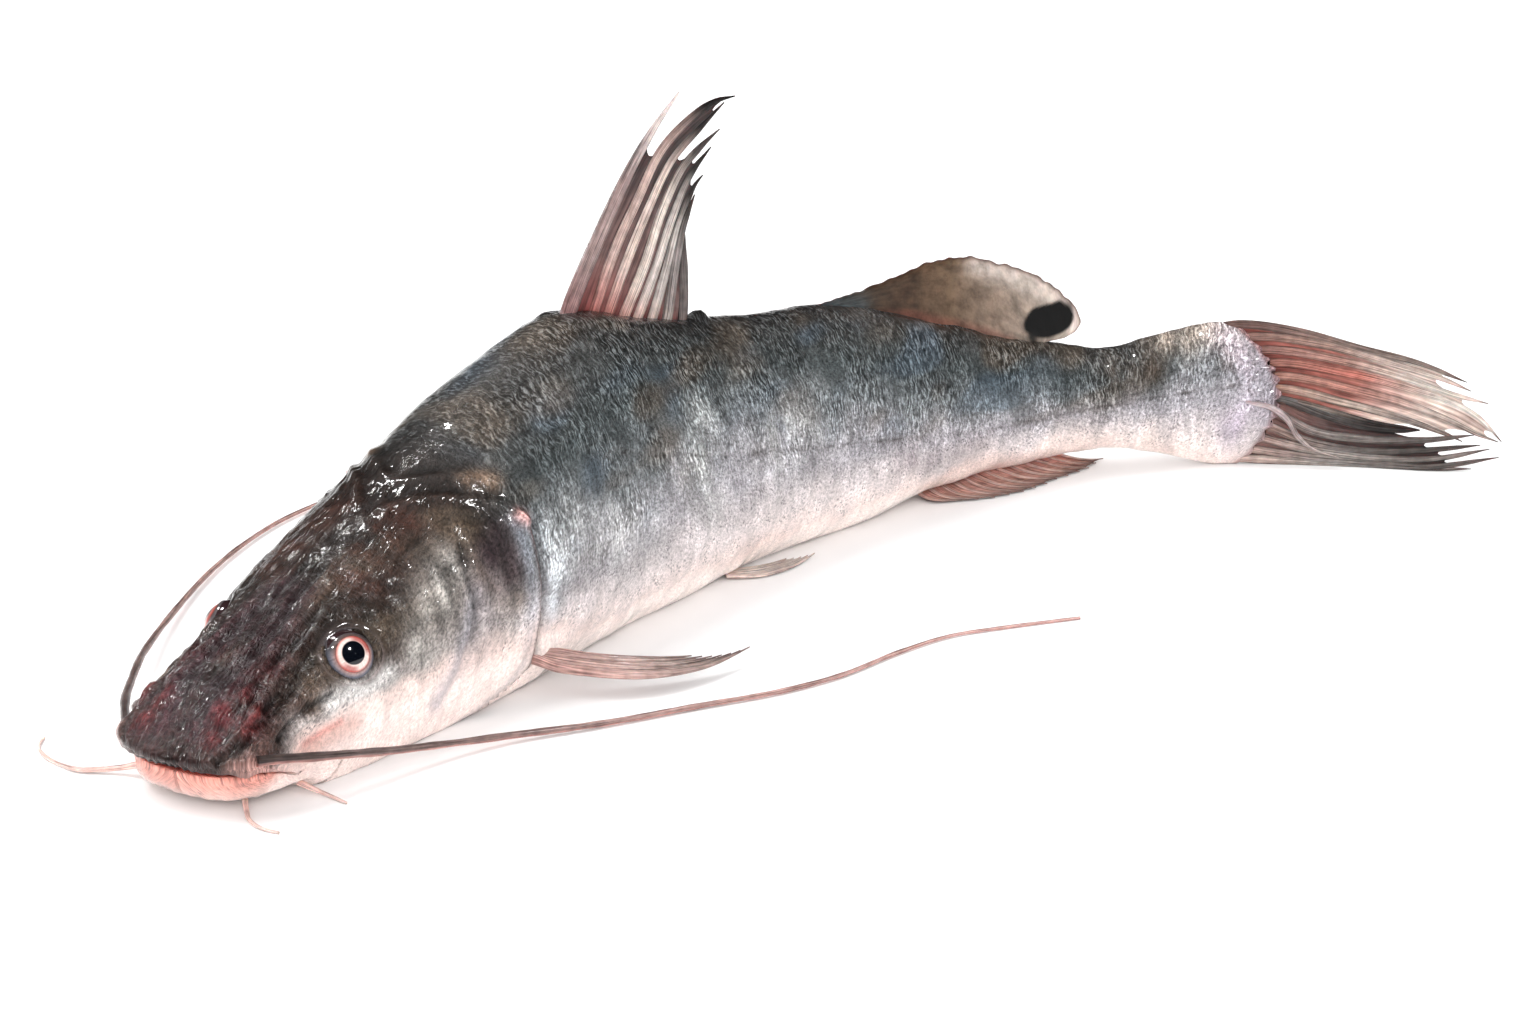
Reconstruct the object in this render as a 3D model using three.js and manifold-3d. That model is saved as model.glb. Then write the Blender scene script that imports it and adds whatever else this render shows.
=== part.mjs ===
// A whole raw long-whiskered catfish, lying on its belly with its tail curved to its left.
//
// The fish is set out in its own coordinates: s runs along the backbone from the tip of the
// snout, side is the distance from the backbone (positive on the fish's left), and z is the
// height above the table. Millimetres throughout, +Z up. The origin of the exported group is
// on the table, under the backbone, at RESTING_POINT.
//
// The flesh of the head and trunk is one piece. The eyeballs, the fins and the whiskers grow
// from it as pieces of their own, each with a small gap to the skin.

import * as THREE from "three";
import { mergeVertices } from "three/addons/utils/BufferGeometryUtils.js";
import Module from "manifold-3d";

const wasm = await Module();
wasm.setup();

// ---------------------------------------------------------------- driving dimensions

const STANDARD_LENGTH = 530; // snout to the hind edge of the flesh
const RESTING_POINT = 250; // the s over the origin
const HEADING = [20.3, -30, 40, -75.7]; // degrees: a cubic in s / STANDARD_LENGTH
const GAP = 0.3; // between neighbouring pieces

// Stations along the flesh, [s, value]. An under side below zero is cut off by the table,
// which leaves the flat patch that the fish lies on.
const HALF_WIDTH = [
  [0, 26.8], [15, 26.8], [30, 27.2], [45, 29], [69, 33], [100, 38], [130, 41.5], [150, 42.5],
  [178, 42], [205, 40], [240, 37], [270, 34], [310, 30], [350, 26], [390, 21], [430, 16],
  [464, 11], [490, 9], [515, 6.5], [530, 4.5],
];
const BACK = [
  [0, 25], [15, 29], [28, 34.5], [45, 41], [69, 49.5], [100, 62.5], [130, 76], [150, 86],
  [178, 98.5], [200, 106.5], [215, 105], [240, 97.5], [270, 90], [310, 85], [350, 80],
  [390, 67], [430, 54], [464, 48.5], [490, 53.5], [515, 56], [530, 54],
];
const WIDEST = [
  [0, 13.5], [15, 13.3], [28, 10.5], [37, 8], [52, 14], [69, 24], [100, 29], [150, 34], [205, 36],
  [270, 35], [345, 33], [372, 32], [405, 31], [435, 28], [462, 27], [530, 27],
];
const UNDER_SIDE = [
  [0, 5], [12, 3.5], [24, 1.5], [40, 0.8], [54, -10], [69, -16], [100, -13], [130, -12], [178, -9],
  [205, -8], [240, -8], [265, -5], [300, -4], [340, -4], [358, -1.5], [372, 2], [405, 3.5],
  [430, 5.5], [464, 8], [485, 5], [502, 1.5], [514, 0], [530, 0],
];
const UPPER_POWER = [[0, 2.5], [69, 2.3], [130, 2.1], [205, 1.8], [345, 1.9], [530, 2]];
const LOWER_POWER = [[0, 2.8], [69, 3.2], [100, 3], [140, 2.5], [345, 2.3], [435, 2], [530, 2]];

// The blunt snout: where it starts, and the lengths over which its outline rounds off seen
// from above, seen from the side and under the chin.
const SNOUT = { tip: 5, outline: 20, nose: 24, chin: 10 };
const NOSE_POWER = 1.4; // below 2 the snout ends in a wedge
const HEAD_BLEND = 72; // where the rings have become plain sections

// The upper lip is tucked in under the snout, and the lower jaw lies inside the upper one.
const MOUTH = { corner: 37, gape: 2.6, depth: 9, tuck: 5, overbite: 8, jawShare: 0.86 };
const EYE = { s: 67, side: 23.6, z: 34.4, radius: 8.6 };

const TAIL_START = 495; // where the rings start to bend into the hind edge
const HIND_EDGE = { shortest: 516, bulge: 16, halfWidth: 2.6 };
const CAUDAL_BASE = { z: 27, halfHeight: 27 };
const LEAN = { start: 430, full: 480, side: 7, top: 55 }; // the tail's lower edge lies out to the left

const RING_POINTS = 44;
const HEAD_RINGS = 11;
const TRUNK_STEP = 15;

// Fins as outlines of [s, height] or [s, side], from the leading edge to the trailing edge.
const DORSAL_EDGE = [
  [264, 172], [256, 160], [250.5, 151.5], [262, 158.5], [277, 165], [291, 166.5], [283, 157],
  [276, 149], [272, 139], [268, 129], [265.5, 116], [267, 104],
];
const ADIPOSE_EDGE = [
  [334, 84.4], [350, 85], [370, 88], [386, 91], [400, 91], [415, 86], [427, 82], [443, 71],
  [448, 66], [451, 58], [445, 54],
];
const CAUDAL_UPPER_EDGE = [[600, 37], [606, 31], [613, 25], [618.5, 11.5], [603, 16], [588, 15]];
const CAUDAL_LOWER_EDGE = [[596, 13], [609, 14], [615, 9], [618, 6], [608, 2], [596, 1]];
const ANAL_EDGE = [[381, 8], [388, 17], [402, 21], [423, 19], [440, 11], [452, 4], [464, -9]];
const ANAL_BASE = [[380, 2], [400, 3], [424, 2], [439, -3], [450, -9], [460, -14]];
const PECTORAL_LEAD = [[141, 41], [147, 53], [160, 68], [181, 77], [207, 79]];
const PECTORAL_TRAIL = [[146, 40.7], [154, 54], [165, 64], [183, 73], [205, 72]];
const PELVIC_LEAD = [[264, 24], [273, 30.5], [288, 32], [303, 29]];
const PELVIC_TRAIL = [[269, 22.5], [278, 25.5], [290, 26.5], [302, 25]];

// Whiskers as [x, y, z] on the table, from the root to the tip, with the radius at each end.
const WHISKERS = {
  maxillary_barbel_left: {
    radii: [1.6, 0.5],
    route: [
      [-209, -79.3, 17.4], [-197, -80, 14.8], [-184, -80.4, 12], [-170, -80.8, 9],
      [-155, -81, 6.2], [-142, -82, 4.2], [-129, -84, 2.8], [-98, -94, 1.5], [-66, -103, 1.3],
      [-39, -111, 1.2], [-15, -114, 1.1], [14, -112, 1], [37, -113, 0.9], [55, -119, 0.8],
      [82, -130, 0.6],
    ],
  },
  maxillary_barbel_right: {
    radii: [1.6, 0.5],
    route: [
      [-227, -25.8, 15.6], [-215, -3, 13], [-202, 16, 10.5], [-189.5, 33, 8.5], [-182.5, 42, 7],
      [-152, 75, 3.2], [-120.5, 103, 1.9], [-94, 121, 1.6], [-70, 133, 1.4], [-40, 141, 1.2],
      [-5, 145, 1], [30, 142, 0.8], [58, 134, 0.6],
    ],
  },
  outer_mandibular_barbel_left: {
    radii: [1.1, 0.4],
    route: [[-194.3, -73.2, 2.2], [-193, -76, 1.5], [-191.5, -80, 0.9], [-190, -88, 0.5]],
  },
  outer_mandibular_barbel_right: {
    radii: [1.1, 0.4],
    route: [
      [-226.8, -30.8, 4.2], [-230, -25.5, 2.4], [-235, -20, 1.3], [-239, -16, 1.1], [-241.5, -8, 1],
      [-242, 0, 0.9], [-240, 8, 0.7], [-235, 14, 0.5],
    ],
  },
  inner_mandibular_barbel_left: {
    radii: [1.2, 0.4],
    route: [
      [-214.5, -71.3, 2.2], [-216.5, -75.2, 1.3], [-218.5, -80, 1], [-218.5, -86.5, 0.8],
      [-216, -92, 0.5],
    ],
  },
  inner_mandibular_barbel_right: {
    radii: [1.1, 0.4],
    route: [[-220, -23.5, 2.4], [-215, -16.5, 1.3], [-207, -10.5, 0.9], [-197, -4.5, 0.5]],
  },
};

// ---------------------------------------------------------------- curves and coordinates

const { clamp, degToRad, lerp } = THREE.MathUtils;

// A smooth curve through [x, y] stations: cubic Hermite spans with mean slopes.
function through(stations) {
  const last = stations.length - 1;
  const chord = (i) => {
    const [from, to] = [stations[clamp(i, 0, last - 1)], stations[clamp(i, 0, last - 1) + 1]];
    return (to[1] - from[1]) / (to[0] - from[0]);
  };
  return (x) => {
    const at = clamp(x, stations[0][0], stations[last][0]);
    let i = 0;
    while (i < last - 1 && at > stations[i + 1][0]) i += 1;
    const [[x0, y0], [x1, y1]] = [stations[i], stations[i + 1]];
    const span = x1 - x0;
    const t = (at - x0) / span;
    const from = (span * (chord(i - 1) + chord(i))) / 2;
    const to = (span * (chord(i) + chord(i + 1))) / 2;
    const rise = y1 - y0;
    return y0 + t * (from + t * (3 * rise - 2 * from - to + t * (from + to - 2 * rise)));
  };
}

// The point at share (0 to 1) of the way along a broken line.
function along(line, share) {
  const steps = line.slice(1).map((p, i) => Math.hypot(p[0] - line[i][0], p[1] - line[i][1]));
  let left = share * steps.reduce((sum, step) => sum + step, 0);
  let i = 0;
  while (i < steps.length - 1 && left > steps[i]) left -= steps[i++];
  const t = Math.min(left / steps[i], 1);
  return line[i].map((value, axis) => lerp(value, line[i + 1][axis], t));
}

// A rounded end: grows from 0 to 1 over a length, like a quarter of a superellipse.
const roundOff = (x, length, power = 2) =>
  (1 - clamp(1 - x / length, 0, 1) ** power) ** (1 / power);

function heading(s) {
  const share = Math.min(s, STANDARD_LENGTH) / STANDARD_LENGTH;
  return degToRad(HEADING.reduceRight((sum, term) => sum * share + term, 0));
}

const backbone = [new THREE.Vector2(0, 0)]; // one point a millimetre
for (let s = 1; s <= STANDARD_LENGTH + 120; s += 1) {
  const step = new THREE.Vector2(Math.cos(heading(s - 0.5)), Math.sin(heading(s - 0.5)));
  backbone.push(backbone[s - 1].clone().add(step));
}

// From the fish's own coordinates to the table's.
function place(s, side, z) {
  const i = Math.floor(s);
  const foot = backbone[i].clone().lerp(backbone[i + 1], s - i).sub(backbone[RESTING_POINT]);
  const angle = heading(s);
  const lean = LEAN.side * THREE.MathUtils.smoothstep(s, LEAN.start, LEAN.full);
  const out = side + lean * (1 - z / LEAN.top);
  return new THREE.Vector3(foot.x + out * Math.sin(angle), foot.y - out * Math.cos(angle), z);
}

// ---------------------------------------------------------------- closed meshes

function geometryFrom(points, triangles) {
  const geometry = new THREE.BufferGeometry().setFromPoints(points);
  geometry.setIndex(triangles.flat());
  geometry.computeVertexNormals();
  return geometry;
}

// Triangles joining each ring of points to the next.
function skinRings(count, size) {
  const triangles = [];
  for (let ring = 0; ring + 1 < count; ring += 1) {
    for (let k = 0; k < size; k += 1) {
      const a = ring * size + k;
      const b = ring * size + ((k + 1) % size);
      triangles.push([a, a + size, b], [b, a + size, b + size]);
    }
  }
  return triangles;
}

// Closes the ring that begins at point first like a zip, from point start to the opposite one.
function zip(first, size, start, isLast) {
  const at = (k) => first + ((start + k + size) % size);
  const triangles = [];
  for (let i = 0; i < size / 2; i += 1) {
    const [a, b, c, d] = [at(i), at(i + 1), at(-i - 1), at(-i)];
    if (a !== d) triangles.push([a, b, d]);
    if (b !== c) triangles.push([b, c, d]);
  }
  return isLast ? triangles.map((triangle) => triangle.reverse()) : triangles;
}

// A thin plate over a grid of { point, thickness }, its thickness along offset.
function plate(rows, offset) {
  const columns = rows[0].length;
  const half = rows.length * columns;
  const points = [1, -1].flatMap((sign) =>
    rows.flat().map(({ point, thickness }) =>
      point.clone().addScaledVector(offset, (sign * thickness) / 2),
    ),
  );
  const triangles = [];
  for (let i = 0; i + 1 < rows.length; i += 1) {
    for (let j = 0; j + 1 < columns; j += 1) {
      const [a, b] = [i * columns + j, i * columns + j + 1];
      const [c, d] = [a + columns, b + columns];
      triangles.push([a, b, c], [b, d, c]);
      triangles.push([a + half, c + half, b + half], [b + half, c + half, d + half]);
    }
  }
  const rim = [];
  for (let j = 0; j < columns; j += 1) rim.push(j);
  for (let i = 1; i < rows.length; i += 1) rim.push(i * columns + columns - 1);
  for (let j = columns - 2; j >= 0; j -= 1) rim.push((rows.length - 1) * columns + j);
  for (let i = rows.length - 2; i > 0; i -= 1) rim.push(i * columns);
  rim.forEach((a, k) => {
    const b = rim[(k + 1) % rim.length];
    triangles.push([a, a + half, b], [b, a + half, b + half]);
  });
  return geometryFrom(points, triangles);
}

// A tapered tube along a smooth route, closed at both ends.
function whisker({ route, radii }, steps, sides) {
  const curve = new THREE.CatmullRomCurve3(route.map((p) => new THREE.Vector3(...p)));
  const { binormals, normals } = curve.computeFrenetFrames(steps);
  const points = [];
  for (let i = 0; i <= steps; i += 1) {
    const centre = curve.getPointAt(i / steps);
    const radius = lerp(radii[0], radii[1], (i / steps) ** 0.7);
    for (let k = 0; k < sides; k += 1) {
      const angle = (k / sides) * 2 * Math.PI;
      const out = normals[i].clone().multiplyScalar(radius * Math.cos(angle));
      points.push(out.addScaledVector(binormals[i], -radius * Math.sin(angle)).add(centre));
    }
  }
  const triangles = skinRings(steps + 1, sides);
  const last = steps * sides;
  for (let k = 1; k + 1 < sides; k += 1) {
    triangles.push([0, k, k + 1], [last, last + k + 1, last + k]);
  }
  return geometryFrom(points, triangles);
}

function solidOf(geometry) {
  const bare = geometry.clone();
  bare.deleteAttribute("normal");
  bare.deleteAttribute("uv");
  const merged = mergeVertices(bare, 1e-4);
  const vertProperties = merged.attributes.position.array;
  const triVerts = new Uint32Array(merged.index.array);
  return new wasm.Manifold(new wasm.Mesh({ numProp: 3, vertProperties, triVerts }));
}

function geometryOf(solid) {
  const { vertProperties, triVerts } = solid.getMesh();
  const geometry = new THREE.BufferGeometry();
  geometry.setAttribute("position", new THREE.BufferAttribute(vertProperties, 3));
  geometry.setIndex(new THREE.BufferAttribute(triVerts, 1));
  geometry.computeVertexNormals();
  return geometry;
}

// ---------------------------------------------------------------- flesh of head and trunk

const halfWidthAt = through(HALF_WIDTH);
const backAt = through(BACK);
const widestAt = through(WIDEST);
const underAt = through(UNDER_SIDE);
const upperPowerAt = through(UPPER_POWER);
const lowerPowerAt = through(LOWER_POWER);
const outlineAt = (s) => halfWidthAt(s) * roundOff(s - SNOUT.tip, SNOUT.outline, 2.6);

// How far above or below the widest line the skin is, out being the share of the half width.
function lift(s, out, above) {
  const power = above ? upperPowerAt(s) : lowerPowerAt(s);
  const share = (1 - Math.min(out, 1) ** power) ** (1 / power);
  if (above) return (backAt(s) - widestAt(s)) * roundOff(s - SNOUT.tip, SNOUT.nose, NOSE_POWER) * share;
  return -(widestAt(s) - underAt(s)) * roundOff(s - SNOUT.tip, SNOUT.chin) * share;
}

// A point of the plain section at s. angle is 0 at the left and a quarter turn at the back.
function sectionPoint(s, angle) {
  const above = Math.sin(angle) >= 0;
  const power = above ? upperPowerAt(s) : lowerPowerAt(s);
  const out = Math.abs(Math.cos(angle)) ** (2 / power);
  const z = Math.max(widestAt(s) + lift(s, out, above), 0);
  return { s, side: Math.sign(Math.cos(angle)) * out * halfWidthAt(s), z };
}

// The width behind the mouth's corners as a straight line, which keeps the rings in step.
function straightWidth(s) {
  if (s <= MOUTH.corner) return outlineAt(s);
  const share = (s - MOUTH.corner) / (HEAD_BLEND - MOUTH.corner);
  return lerp(outlineAt(MOUTH.corner), outlineAt(HEAD_BLEND), share);
}

// The lips follow the outline seen from above, so the head's first rings are bent round it.
const lipAt = (angle) => lerp(SNOUT.tip, MOUTH.corner, Math.abs(Math.cos(angle)) ** 2.2);

// A point of the head, share of the way back from the lips to the first plain section.
function headPoint(share, angle) {
  const turn = Math.abs(Math.sin(angle));
  const above = Math.sin(angle) >= 0;
  const lip = lipAt(angle);
  const k = share * share;
  const s = lerp(lip, HEAD_BLEND, k);
  const lipSide = Math.sign(Math.cos(angle)) * outlineAt(lip);
  const side = lerp(lipSide, sectionPoint(HEAD_BLEND, angle).side, k);
  const width = straightWidth(s);
  const out = width > 0 ? clamp(side / width, -1, 1) : 0;
  const open = MOUTH.gape * 0.5 * turn ** 1.5 * (1 - k) ** 8;
  const z = widestAt(s) + lift(s, Math.abs(out), above) + (above ? open : -open);
  const jaw = above ? 0 : turn * (1 - k) ** 6;
  const tuck = above ? turn * (1 - k) ** 30 : 0;
  return {
    s: s + MOUTH.tuck * tuck + MOUTH.overbite * jaw,
    side: out * outlineAt(s) * lerp(1, MOUTH.jawShare, Math.max(jaw, tuck * 0.5)),
    z: Math.max(z, 0),
  };
}

// The lining of the mouth, closing in towards its depth.
function mouthPoint(depth, angle) {
  const lip = headPoint(0, angle);
  const middle = widestAt(lipAt(angle));
  return {
    s: lip.s + MOUTH.depth * depth,
    side: lip.side * (1 - 0.4 * depth),
    z: lerp(lip.z, middle, 0.5 * depth),
  };
}

// The flesh ends in a thin, rounded hind edge from which the tail fin grows.
const hindEdge = (angle) => HIND_EDGE.shortest + HIND_EDGE.bulge * Math.cos(angle) ** 2;

function tailPoint(share, angle) {
  const point = sectionPoint(lerp(TAIL_START, STANDARD_LENGTH, share), angle);
  const slim = lerp(1, HIND_EDGE.halfWidth / halfWidthAt(STANDARD_LENGTH), share ** 3);
  return { ...point, s: lerp(TAIL_START, hindEdge(angle), share), side: point.side * slim };
}

function flesh() {
  const angles = Array.from({ length: RING_POINTS }, (_, k) => (k / RING_POINTS) * 2 * Math.PI);
  const ring = (pointAt, x) => angles.map((angle) => pointAt(x, angle));
  const rings = [0.9, 0.5, 0.1].map((depth) => ring(mouthPoint, depth));
  for (let i = 0; i < HEAD_RINGS; i += 1) rings.push(ring(headPoint, i / HEAD_RINGS));
  const steps = Math.round((TAIL_START - HEAD_BLEND) / TRUNK_STEP);
  for (let i = 0; i < steps; i += 1) {
    rings.push(ring(sectionPoint, lerp(HEAD_BLEND, TAIL_START, i / steps)));
  }
  [0, 0.35, 0.7, 1].forEach((share) => rings.push(ring(tailPoint, share)));
  const points = rings.flat().map(({ s, side, z }) => place(s, side, z));
  return geometryFrom(points, [
    ...skinRings(rings.length, RING_POINTS),
    ...zip(0, RING_POINTS, 0, false),
    ...zip((rings.length - 1) * RING_POINTS, RING_POINTS, (RING_POINTS * 3) / 4, true),
  ]);
}

function eyeball(mirror, radius) {
  const ball = new THREE.SphereGeometry(radius, 24, 14);
  return ball.translate(...place(EYE.s, mirror * EYE.side, EYE.z).toArray());
}

// ---------------------------------------------------------------- fins

// A fin standing in the fish's middle plane between its base and its free edge. bow lifts the
// middle of its first ray, and sway moves it sideways by a distance that depends on s.
function standingFin(base, edge, columns, rows, thickness, bow = 0, sway = () => 0) {
  const grid = Array.from({ length: columns + 1 }, (_, i) => {
    const foot = base(i / columns);
    const tip = along(edge, i / columns);
    return Array.from({ length: rows + 1 }, (_, j) => {
      const k = j / rows;
      const s = lerp(foot[0], tip[0], k);
      const lifted = bow * (1 - i / columns) * 4 * k * (1 - k);
      return {
        point: place(s, sway(s), lerp(foot[1], tip[1], k) + lifted),
        thickness: lerp(thickness[0], thickness[1], k),
      };
    });
  });
  const angle = heading((base(0.5)[0] + along(edge, 0.5)[0]) / 2);
  return plate(grid, new THREE.Vector3(-Math.sin(angle), Math.cos(angle), 0));
}

const onBack = (from, to, power = 1) => (share) => {
  const s = lerp(from, to, share ** power);
  return [s, backAt(s) + 2 * GAP];
};

const onHindEdge = (top, bottom) => (share) => {
  const z = lerp(top, bottom, share);
  const rise = clamp((z - CAUDAL_BASE.z) / CAUDAL_BASE.halfHeight, -1, 1);
  return [HIND_EDGE.shortest + HIND_EDGE.bulge * (1 - rise * rise) + 2 * GAP, z];
};

// The tail fin is folded: its lower lobe lies on the table and its upper one hangs over it.
function caudalFin() {
  const spread = (s) => clamp((s - STANDARD_LENGTH) / 60, 0, 1) ** 2;
  const upper = standingFin(
    onHindEdge(53, 20), CAUDAL_UPPER_EDGE, 10, 8, [3.4, 1.2], 3.3, (s) => 2 * spread(s),
  );
  const lower = standingFin(
    onHindEdge(30, 1), CAUDAL_LOWER_EDGE, 8, 8, [3, 1.2], 0, (s) => 1.5 * spread(s),
  );
  return geometryOf(solidOf(upper).add(solidOf(lower)));
}

// A fin lying along the table, between its leading line and its trailing line.
function lyingFin(lead, trail, z, mirror, thickness) {
  const columns = 10;
  const grid = Array.from({ length: columns + 1 }, (_, i) =>
    [along(lead, i / columns), along(trail, i / columns)].map(([s, side]) => ({
      point: place(s, mirror * side, lerp(z[0], z[1], i / columns)),
      thickness: lerp(thickness[0], thickness[1], i / columns),
    })),
  );
  return plate(grid, new THREE.Vector3(0, 0, -mirror));
}

// ---------------------------------------------------------------- the fish

const group = new THREE.Group();

function add(name, geometry, color, roughness) {
  const material = new THREE.MeshStandardMaterial({ color, roughness, metalness: 0 });
  const mesh = new THREE.Mesh(geometry, material);
  mesh.name = name;
  group.add(mesh);
}

const socketRadius = EYE.radius + GAP;
const sockets = solidOf(eyeball(1, socketRadius)).add(solidOf(eyeball(-1, socketRadius)));
add("body", geometryOf(solidOf(flesh()).subtract(sockets)), 0x8d8580, 0.3);
const dorsal = standingFin(onBack(206, 266, 1.9), DORSAL_EDGE, 24, 5, [3, 1]);
add("dorsal_fin", dorsal, 0xa36d66, 0.4);
add("adipose_fin", standingFin(onBack(333, 428), ADIPOSE_EDGE, 18, 4, [4, 1.6]), 0x7d6f66, 0.4);
add("caudal_fin", caudalFin(), 0xa77b76, 0.4);
add("anal_fin", lyingFin(ANAL_EDGE, ANAL_BASE, [0.9, 0.9], 1, [1.2, 1.2]), 0xb08b80, 0.4);

for (const [side, mirror] of [["left", 1], ["right", -1]]) {
  add(`eye_${side}`, eyeball(mirror, EYE.radius), 0x2a2f3a, 0.08);
  const pectoral = lyingFin(PECTORAL_LEAD, PECTORAL_TRAIL, [13, 3], mirror, [5, 2.4]);
  add(`pectoral_fin_${side}`, pectoral, 0xb5938c, 0.4);
  const pelvic = lyingFin(PELVIC_LEAD, PELVIC_TRAIL, [0.8, 0.8], mirror, [1.2, 1.2]);
  add(`pelvic_fin_${side}`, pelvic, 0xd9c3b8, 0.4);
}

for (const [name, shape] of Object.entries(WHISKERS)) {
  const isLong = name.startsWith("maxillary");
  add(name, whisker(shape, isLong ? 40 : 12, isLong ? 7 : 6), 0xa58f88, 0.35);
}

export default group;
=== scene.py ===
"""A whole raw long-whiskered catfish, lying on its belly with its tail curved to its left.

The fish is shaped in its own coordinates, in millimetres: s runs along the backbone from the tip
of the snout, side is the distance from the backbone (positive on the fish's left) and z is the
height above the table. place() bends that along the backbone and turns it to metres.
"""

from functools import partial

import bpy
import numpy as np
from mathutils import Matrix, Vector
from mathutils.bvhtree import BVHTree


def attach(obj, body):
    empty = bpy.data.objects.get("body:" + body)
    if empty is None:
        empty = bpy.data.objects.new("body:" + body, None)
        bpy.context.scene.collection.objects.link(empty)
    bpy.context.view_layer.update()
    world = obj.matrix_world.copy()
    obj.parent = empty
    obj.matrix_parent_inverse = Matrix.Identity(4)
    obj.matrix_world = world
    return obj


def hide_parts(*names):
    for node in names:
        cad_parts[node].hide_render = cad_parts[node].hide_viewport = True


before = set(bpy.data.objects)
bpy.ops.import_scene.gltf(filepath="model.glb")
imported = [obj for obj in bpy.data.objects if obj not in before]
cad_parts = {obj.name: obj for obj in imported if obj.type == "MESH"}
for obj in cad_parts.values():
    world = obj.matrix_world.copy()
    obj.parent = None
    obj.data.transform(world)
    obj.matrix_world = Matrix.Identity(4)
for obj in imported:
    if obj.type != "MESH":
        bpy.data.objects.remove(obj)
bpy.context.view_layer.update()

MM = 0.001
BODY = "root"

# ---------------------------------------------------------------- the fish's measures, in mm

STANDARD_LENGTH = 530  # snout to the hind edge of the flesh
RESTING_POINT = 250  # the s over the origin
HEADING = [20.3, -30, 40, -75.7]  # degrees: a cubic in s / STANDARD_LENGTH

# Stations along the flesh, (s, value).
HALF_WIDTH = [
    (0, 26.8), (15, 26.8), (30, 27.2), (45, 29), (69, 33), (100, 38), (130, 41.5), (150, 42.5),
    (178, 42), (205, 40), (240, 37), (270, 34), (310, 30), (350, 26), (390, 21), (430, 16),
    (464, 11), (490, 9), (515, 6.5), (530, 4.5),
]
BACK = [
    (0, 25), (15, 29), (28, 34.5), (45, 41), (69, 49.5), (100, 62.5), (130, 76), (150, 86),
    (178, 98.5), (200, 106.5), (215, 105), (240, 97.5), (270, 90), (310, 85), (350, 80),
    (390, 67), (430, 54), (464, 48.5), (490, 53.5), (515, 56), (530, 54),
]
WIDEST = [
    (0, 13.5), (15, 13.3), (28, 10.5), (37, 8), (52, 14), (69, 24), (100, 29), (150, 34),
    (205, 36), (270, 35), (345, 33), (372, 32), (405, 31), (435, 28), (462, 27), (530, 27),
]
UNDER_SIDE = [
    (0, 5), (12, 3.5), (24, 1.5), (40, 0.8), (54, -10), (69, -16), (100, -13), (130, -12),
    (178, -9), (205, -8), (240, -8), (265, -5), (300, -4), (340, -4), (358, -1.5), (372, 2),
    (405, 3.5), (430, 5.5), (464, 8), (485, 5), (502, 1.5), (514, 0), (530, 0),
]
UPPER_POWER = [(0, 2.5), (69, 2.3), (130, 2.1), (205, 1.8), (345, 1.9), (530, 2)]
LOWER_POWER = [(0, 2.8), (69, 3.2), (100, 3), (140, 2.5), (345, 2.3), (435, 2), (530, 2)]
SNOUT_TIP, SNOUT_OUTLINE, SNOUT_NOSE, SNOUT_CHIN = 5, 20, 24, 10
NOSE_POWER = 1.4  # below 2 the snout ends in a wedge
HEAD_BLEND = 72
MOUTH_CORNER, MOUTH_GAPE, MOUTH_DEPTH = 37, 2.6, 9
LIP_TUCK, OVERBITE, JAW_SHARE = 5, 8, 0.86
TAIL_START = 495
HIND_EDGE_AT, HIND_EDGE_BULGE, HIND_EDGE_WIDTH = 516, 16, 2.6
CAUDAL_BASE_Z = 27
LEAN_START, LEAN_FULL, LEAN_SIDE, LEAN_TOP = 430, 480, 7, 55
EYE = (67, 23.6, 34.4)
EYE_RADIUS = 8.6
EYE_SIDES = 96
EYE_SINK = 3.2  # how far the skin dips under the ball
CORNEA = 0.35  # how far the cornea stands proud of the ball
EYE_FLATNESS = 0.84  # the front of a fish eye is flatter than a ball

# Where the dark of the back ends and where the pink of the belly begins, (s, z).
DARK_EDGE = [
    (5, 14), (25, 16), (40, 26), (56, 30), (71, 30), (87, 37), (100, 43), (112, 47), (131, 42),
    (141, 44), (155, 54), (177, 57), (206, 59), (244, 68), (277, 63), (308, 56), (352, 46),
    (405, 36), (437, 33), (454, 33), (480, 37), (500, 44), (530, 46),
]
PALE_EDGE = [
    (5, 9), (25, 8), (40, 16), (56, 23), (71, 21), (87, 22), (100, 23), (117, 23), (131, 21),
    (141, 24), (155, 19), (176, 14), (211, 16), (248, 14), (284, 15), (341, 14), (375, 14),
    (437, 16), (464, 14), (490, 9), (513, 4), (530, 0),
]
# The gill cover's free edge, (z, s).
GILL_EDGE = [
    (0, 110), (3, 117), (6, 126), (9, 132), (13, 136.6), (20, 138.5), (27, 139.9), (35, 140.4),
    (43, 140.9), (51, 141.5), (58, 142), (64, 141),
]
LATERAL_LINE = [
    (141, 35, 62), (148.5, 35, 65), (162, 36, 67), (178, 36, 69), (193, 35, 68), (213, 35, 62),
    (250, 34, 52), (287, 31, 45), (323, 28.5, 38.6), (361, 25, 32.5), (395, 20, 28), (430, 16, 27),
    (458, 12, 29), (490, 9, 31), (515, 6, 33),
]

# ---------------------------------------------------------------- curves and coordinates


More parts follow.
